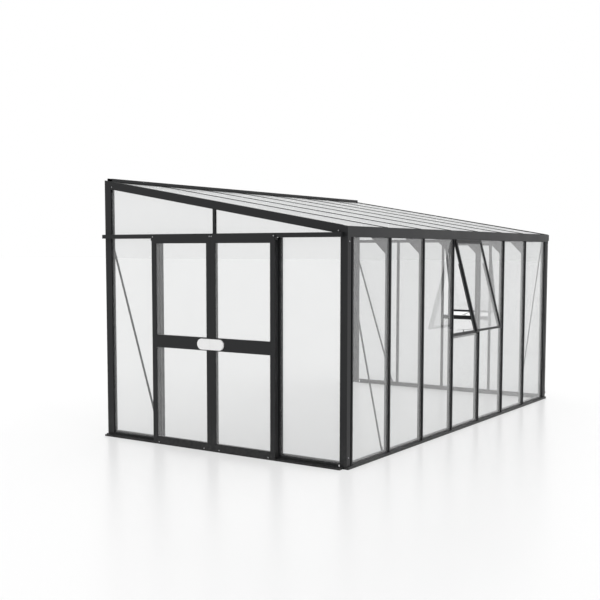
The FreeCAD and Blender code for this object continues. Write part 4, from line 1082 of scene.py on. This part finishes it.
@dataclass
class Studio:
    """Floor, light and camera; none of them is part of the house."""

    floor_half: float = 200.0
    floor_gap: float = 0.5 * MM
    floor_tone: float = 0.90
    floor_seen_tone: float = 0.50
    floor_lift: float = 0.50
    floor_far_lift: float = 0.36
    floor_far_power: float = 5.0
    floor_roughness: float = 0.26
    floor_specular: float = 0.10
    white: tuple[float, float, float, float] = (1.0, 1.0, 1.0, 1.0)
    light_strength: float = 0.85
    sun_strength: float = 0.60
    sun_spread: float = 70.0
    sun_place: Vector = field(default_factory=lambda: Vector((1.0, -8.5, 6.5)))
    sun_target: Vector = field(default_factory=lambda: Vector((0.0, 1.2, 1.2)))
    camera_place: Vector = field(default_factory=lambda: Vector((-10.2145, -4.5272, 2.0137)))
    heading: float = 0.5886
    dip: float = 0.0806
    roll: float = 0.0013
    lens: float = 57.96
    sensor: float = 36.0
    shift_up: float = 0.0492
    sight: float = 300.0

    def build(self) -> None:
        """Build the floor, the world, the lamp and the camera."""
        self._floor()
        self._world()
        self._lamp()
        self._camera()

    def _floor(self) -> None:
        """Lay a wide pale floor, a little below the feet so that they don't share a plane.

        Looked at, it is nearly as white as the background and keeps a faint shadow.
        """
        mesh = bmesh.new()
        bmesh.ops.create_grid(mesh, x_segments=1, y_segments=1, size=self.floor_half)
        data = bpy.data.meshes.new("floor")
        mesh.to_mesh(data)
        mesh.free()
        floor = bpy.data.objects.new("floor", data)
        floor.location.z = -self.floor_gap
        bpy.context.scene.collection.objects.link(floor)
        sheet = MaterialSheet("floor")
        seen = self._looked_at(sheet)
        facing = sheet.add("ShaderNodeLayerWeight").outputs["Facing"]
        far = sheet.calculate("POWER", facing, self.floor_far_power)
        lift = sheet.spread(far, self.floor_lift, self.floor_far_lift)
        data.materials.append(sheet.finish({
            "Base Color": sheet.spread(seen, self.floor_tone, self.floor_seen_tone),
            "Roughness": self.floor_roughness,
            "Specular IOR Level": self.floor_specular,
            "Emission Color": self.white,
            "Emission Strength": sheet.calculate("MULTIPLY", seen, lift),
        }))

    def _world(self) -> None:
        """Give soft even light; camera, mirror and glass rays see plain white."""
        world = bpy.data.worlds.new("studio")
        bpy.context.scene.world = world
        world.use_nodes = True
        sheet = NodeSheet(world.node_tree)
        background = world.node_tree.nodes["Background"]
        strength = sheet.spread(self._looked_at(sheet), self.light_strength, 1.0)
        sheet.feed(self.white, background.inputs["Color"])
        sheet.feed(strength, background.inputs["Strength"])

    @staticmethod
    def _looked_at(sheet: NodeSheet) -> Socket:
        """Mask the rays that look straight, by a mirror or through glass.

        Args:
            sheet: the nodes of the floor or the world.

        Returns:
            The mask's socket.
        """
        light = sheet.add("ShaderNodeLightPath")
        camera, mirror = light.outputs["Is Camera Ray"], light.outputs["Is Glossy Ray"]
        straight = sheet.calculate("MAXIMUM", camera, mirror)
        return sheet.calculate("MAXIMUM", straight, light.outputs["Is Transmission Ray"])

    def _lamp(self) -> None:
        """Hang one very soft lamp above and in front of the house, even over the whole floor."""
        data = bpy.data.lights.new("key", "SUN")
        data.energy = self.sun_strength
        data.angle = math.radians(self.sun_spread)
        lamp = bpy.data.objects.new("key", data)
        lamp.location = self.sun_place
        lamp.rotation_euler = (self.sun_target - lamp.location).to_track_quat("-Z", "Y").to_euler()
        bpy.context.scene.collection.objects.link(lamp)

    def _camera(self) -> None:
        """Set up the photograph's place, heading, lens and framing."""
        data = bpy.data.cameras.new("camera")
        data.lens = self.lens
        data.sensor_width = self.sensor
        data.shift_y = self.shift_up
        data.clip_end = self.sight
        camera = bpy.data.objects.new("camera", data)
        level = math.cos(self.dip)
        forward = Vector((math.cos(self.heading) * level, math.sin(self.heading) * level,
                          -math.sin(self.dip)))
        turn = forward.to_track_quat("-Z", "Y").to_matrix().to_4x4()
        tilt = Matrix.Rotation(self.roll, 4, "Z")
        camera.matrix_world = Matrix.Translation(self.camera_place) @ turn @ tilt
        bpy.context.scene.collection.objects.link(camera)
        bpy.context.scene.camera = camera


def dress_frame(frame: dict, palette: Palette) -> None:
    """Give every node of the frame the finish of its slot.

    Args:
        palette: the finishes.
    """
    for row in frame["record"]["subparts"]:
        palette.dress(frame["nodes"][row["node"]], Slot(row["material_slot"]))


def main() -> None:
    """Load the frame, dress it, add the detail pieces and the studio."""
    logging.basicConfig(level=logging.INFO, format="%(message)s")
    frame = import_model()
    bpy.context.scene.view_settings.view_transform = "Standard"
    palette = Palette()
    dress_frame(frame, palette)
    house = House(SolidReader(frame["nodes"]), palette)
    GlazingSeals(house).build()
    Screws(house).build()
    JointBolts(house).build()
    RoofTrim(house).build()
    DoorTrim(house).build()
    Studio().build()


if __name__ == "__main__":
    main()
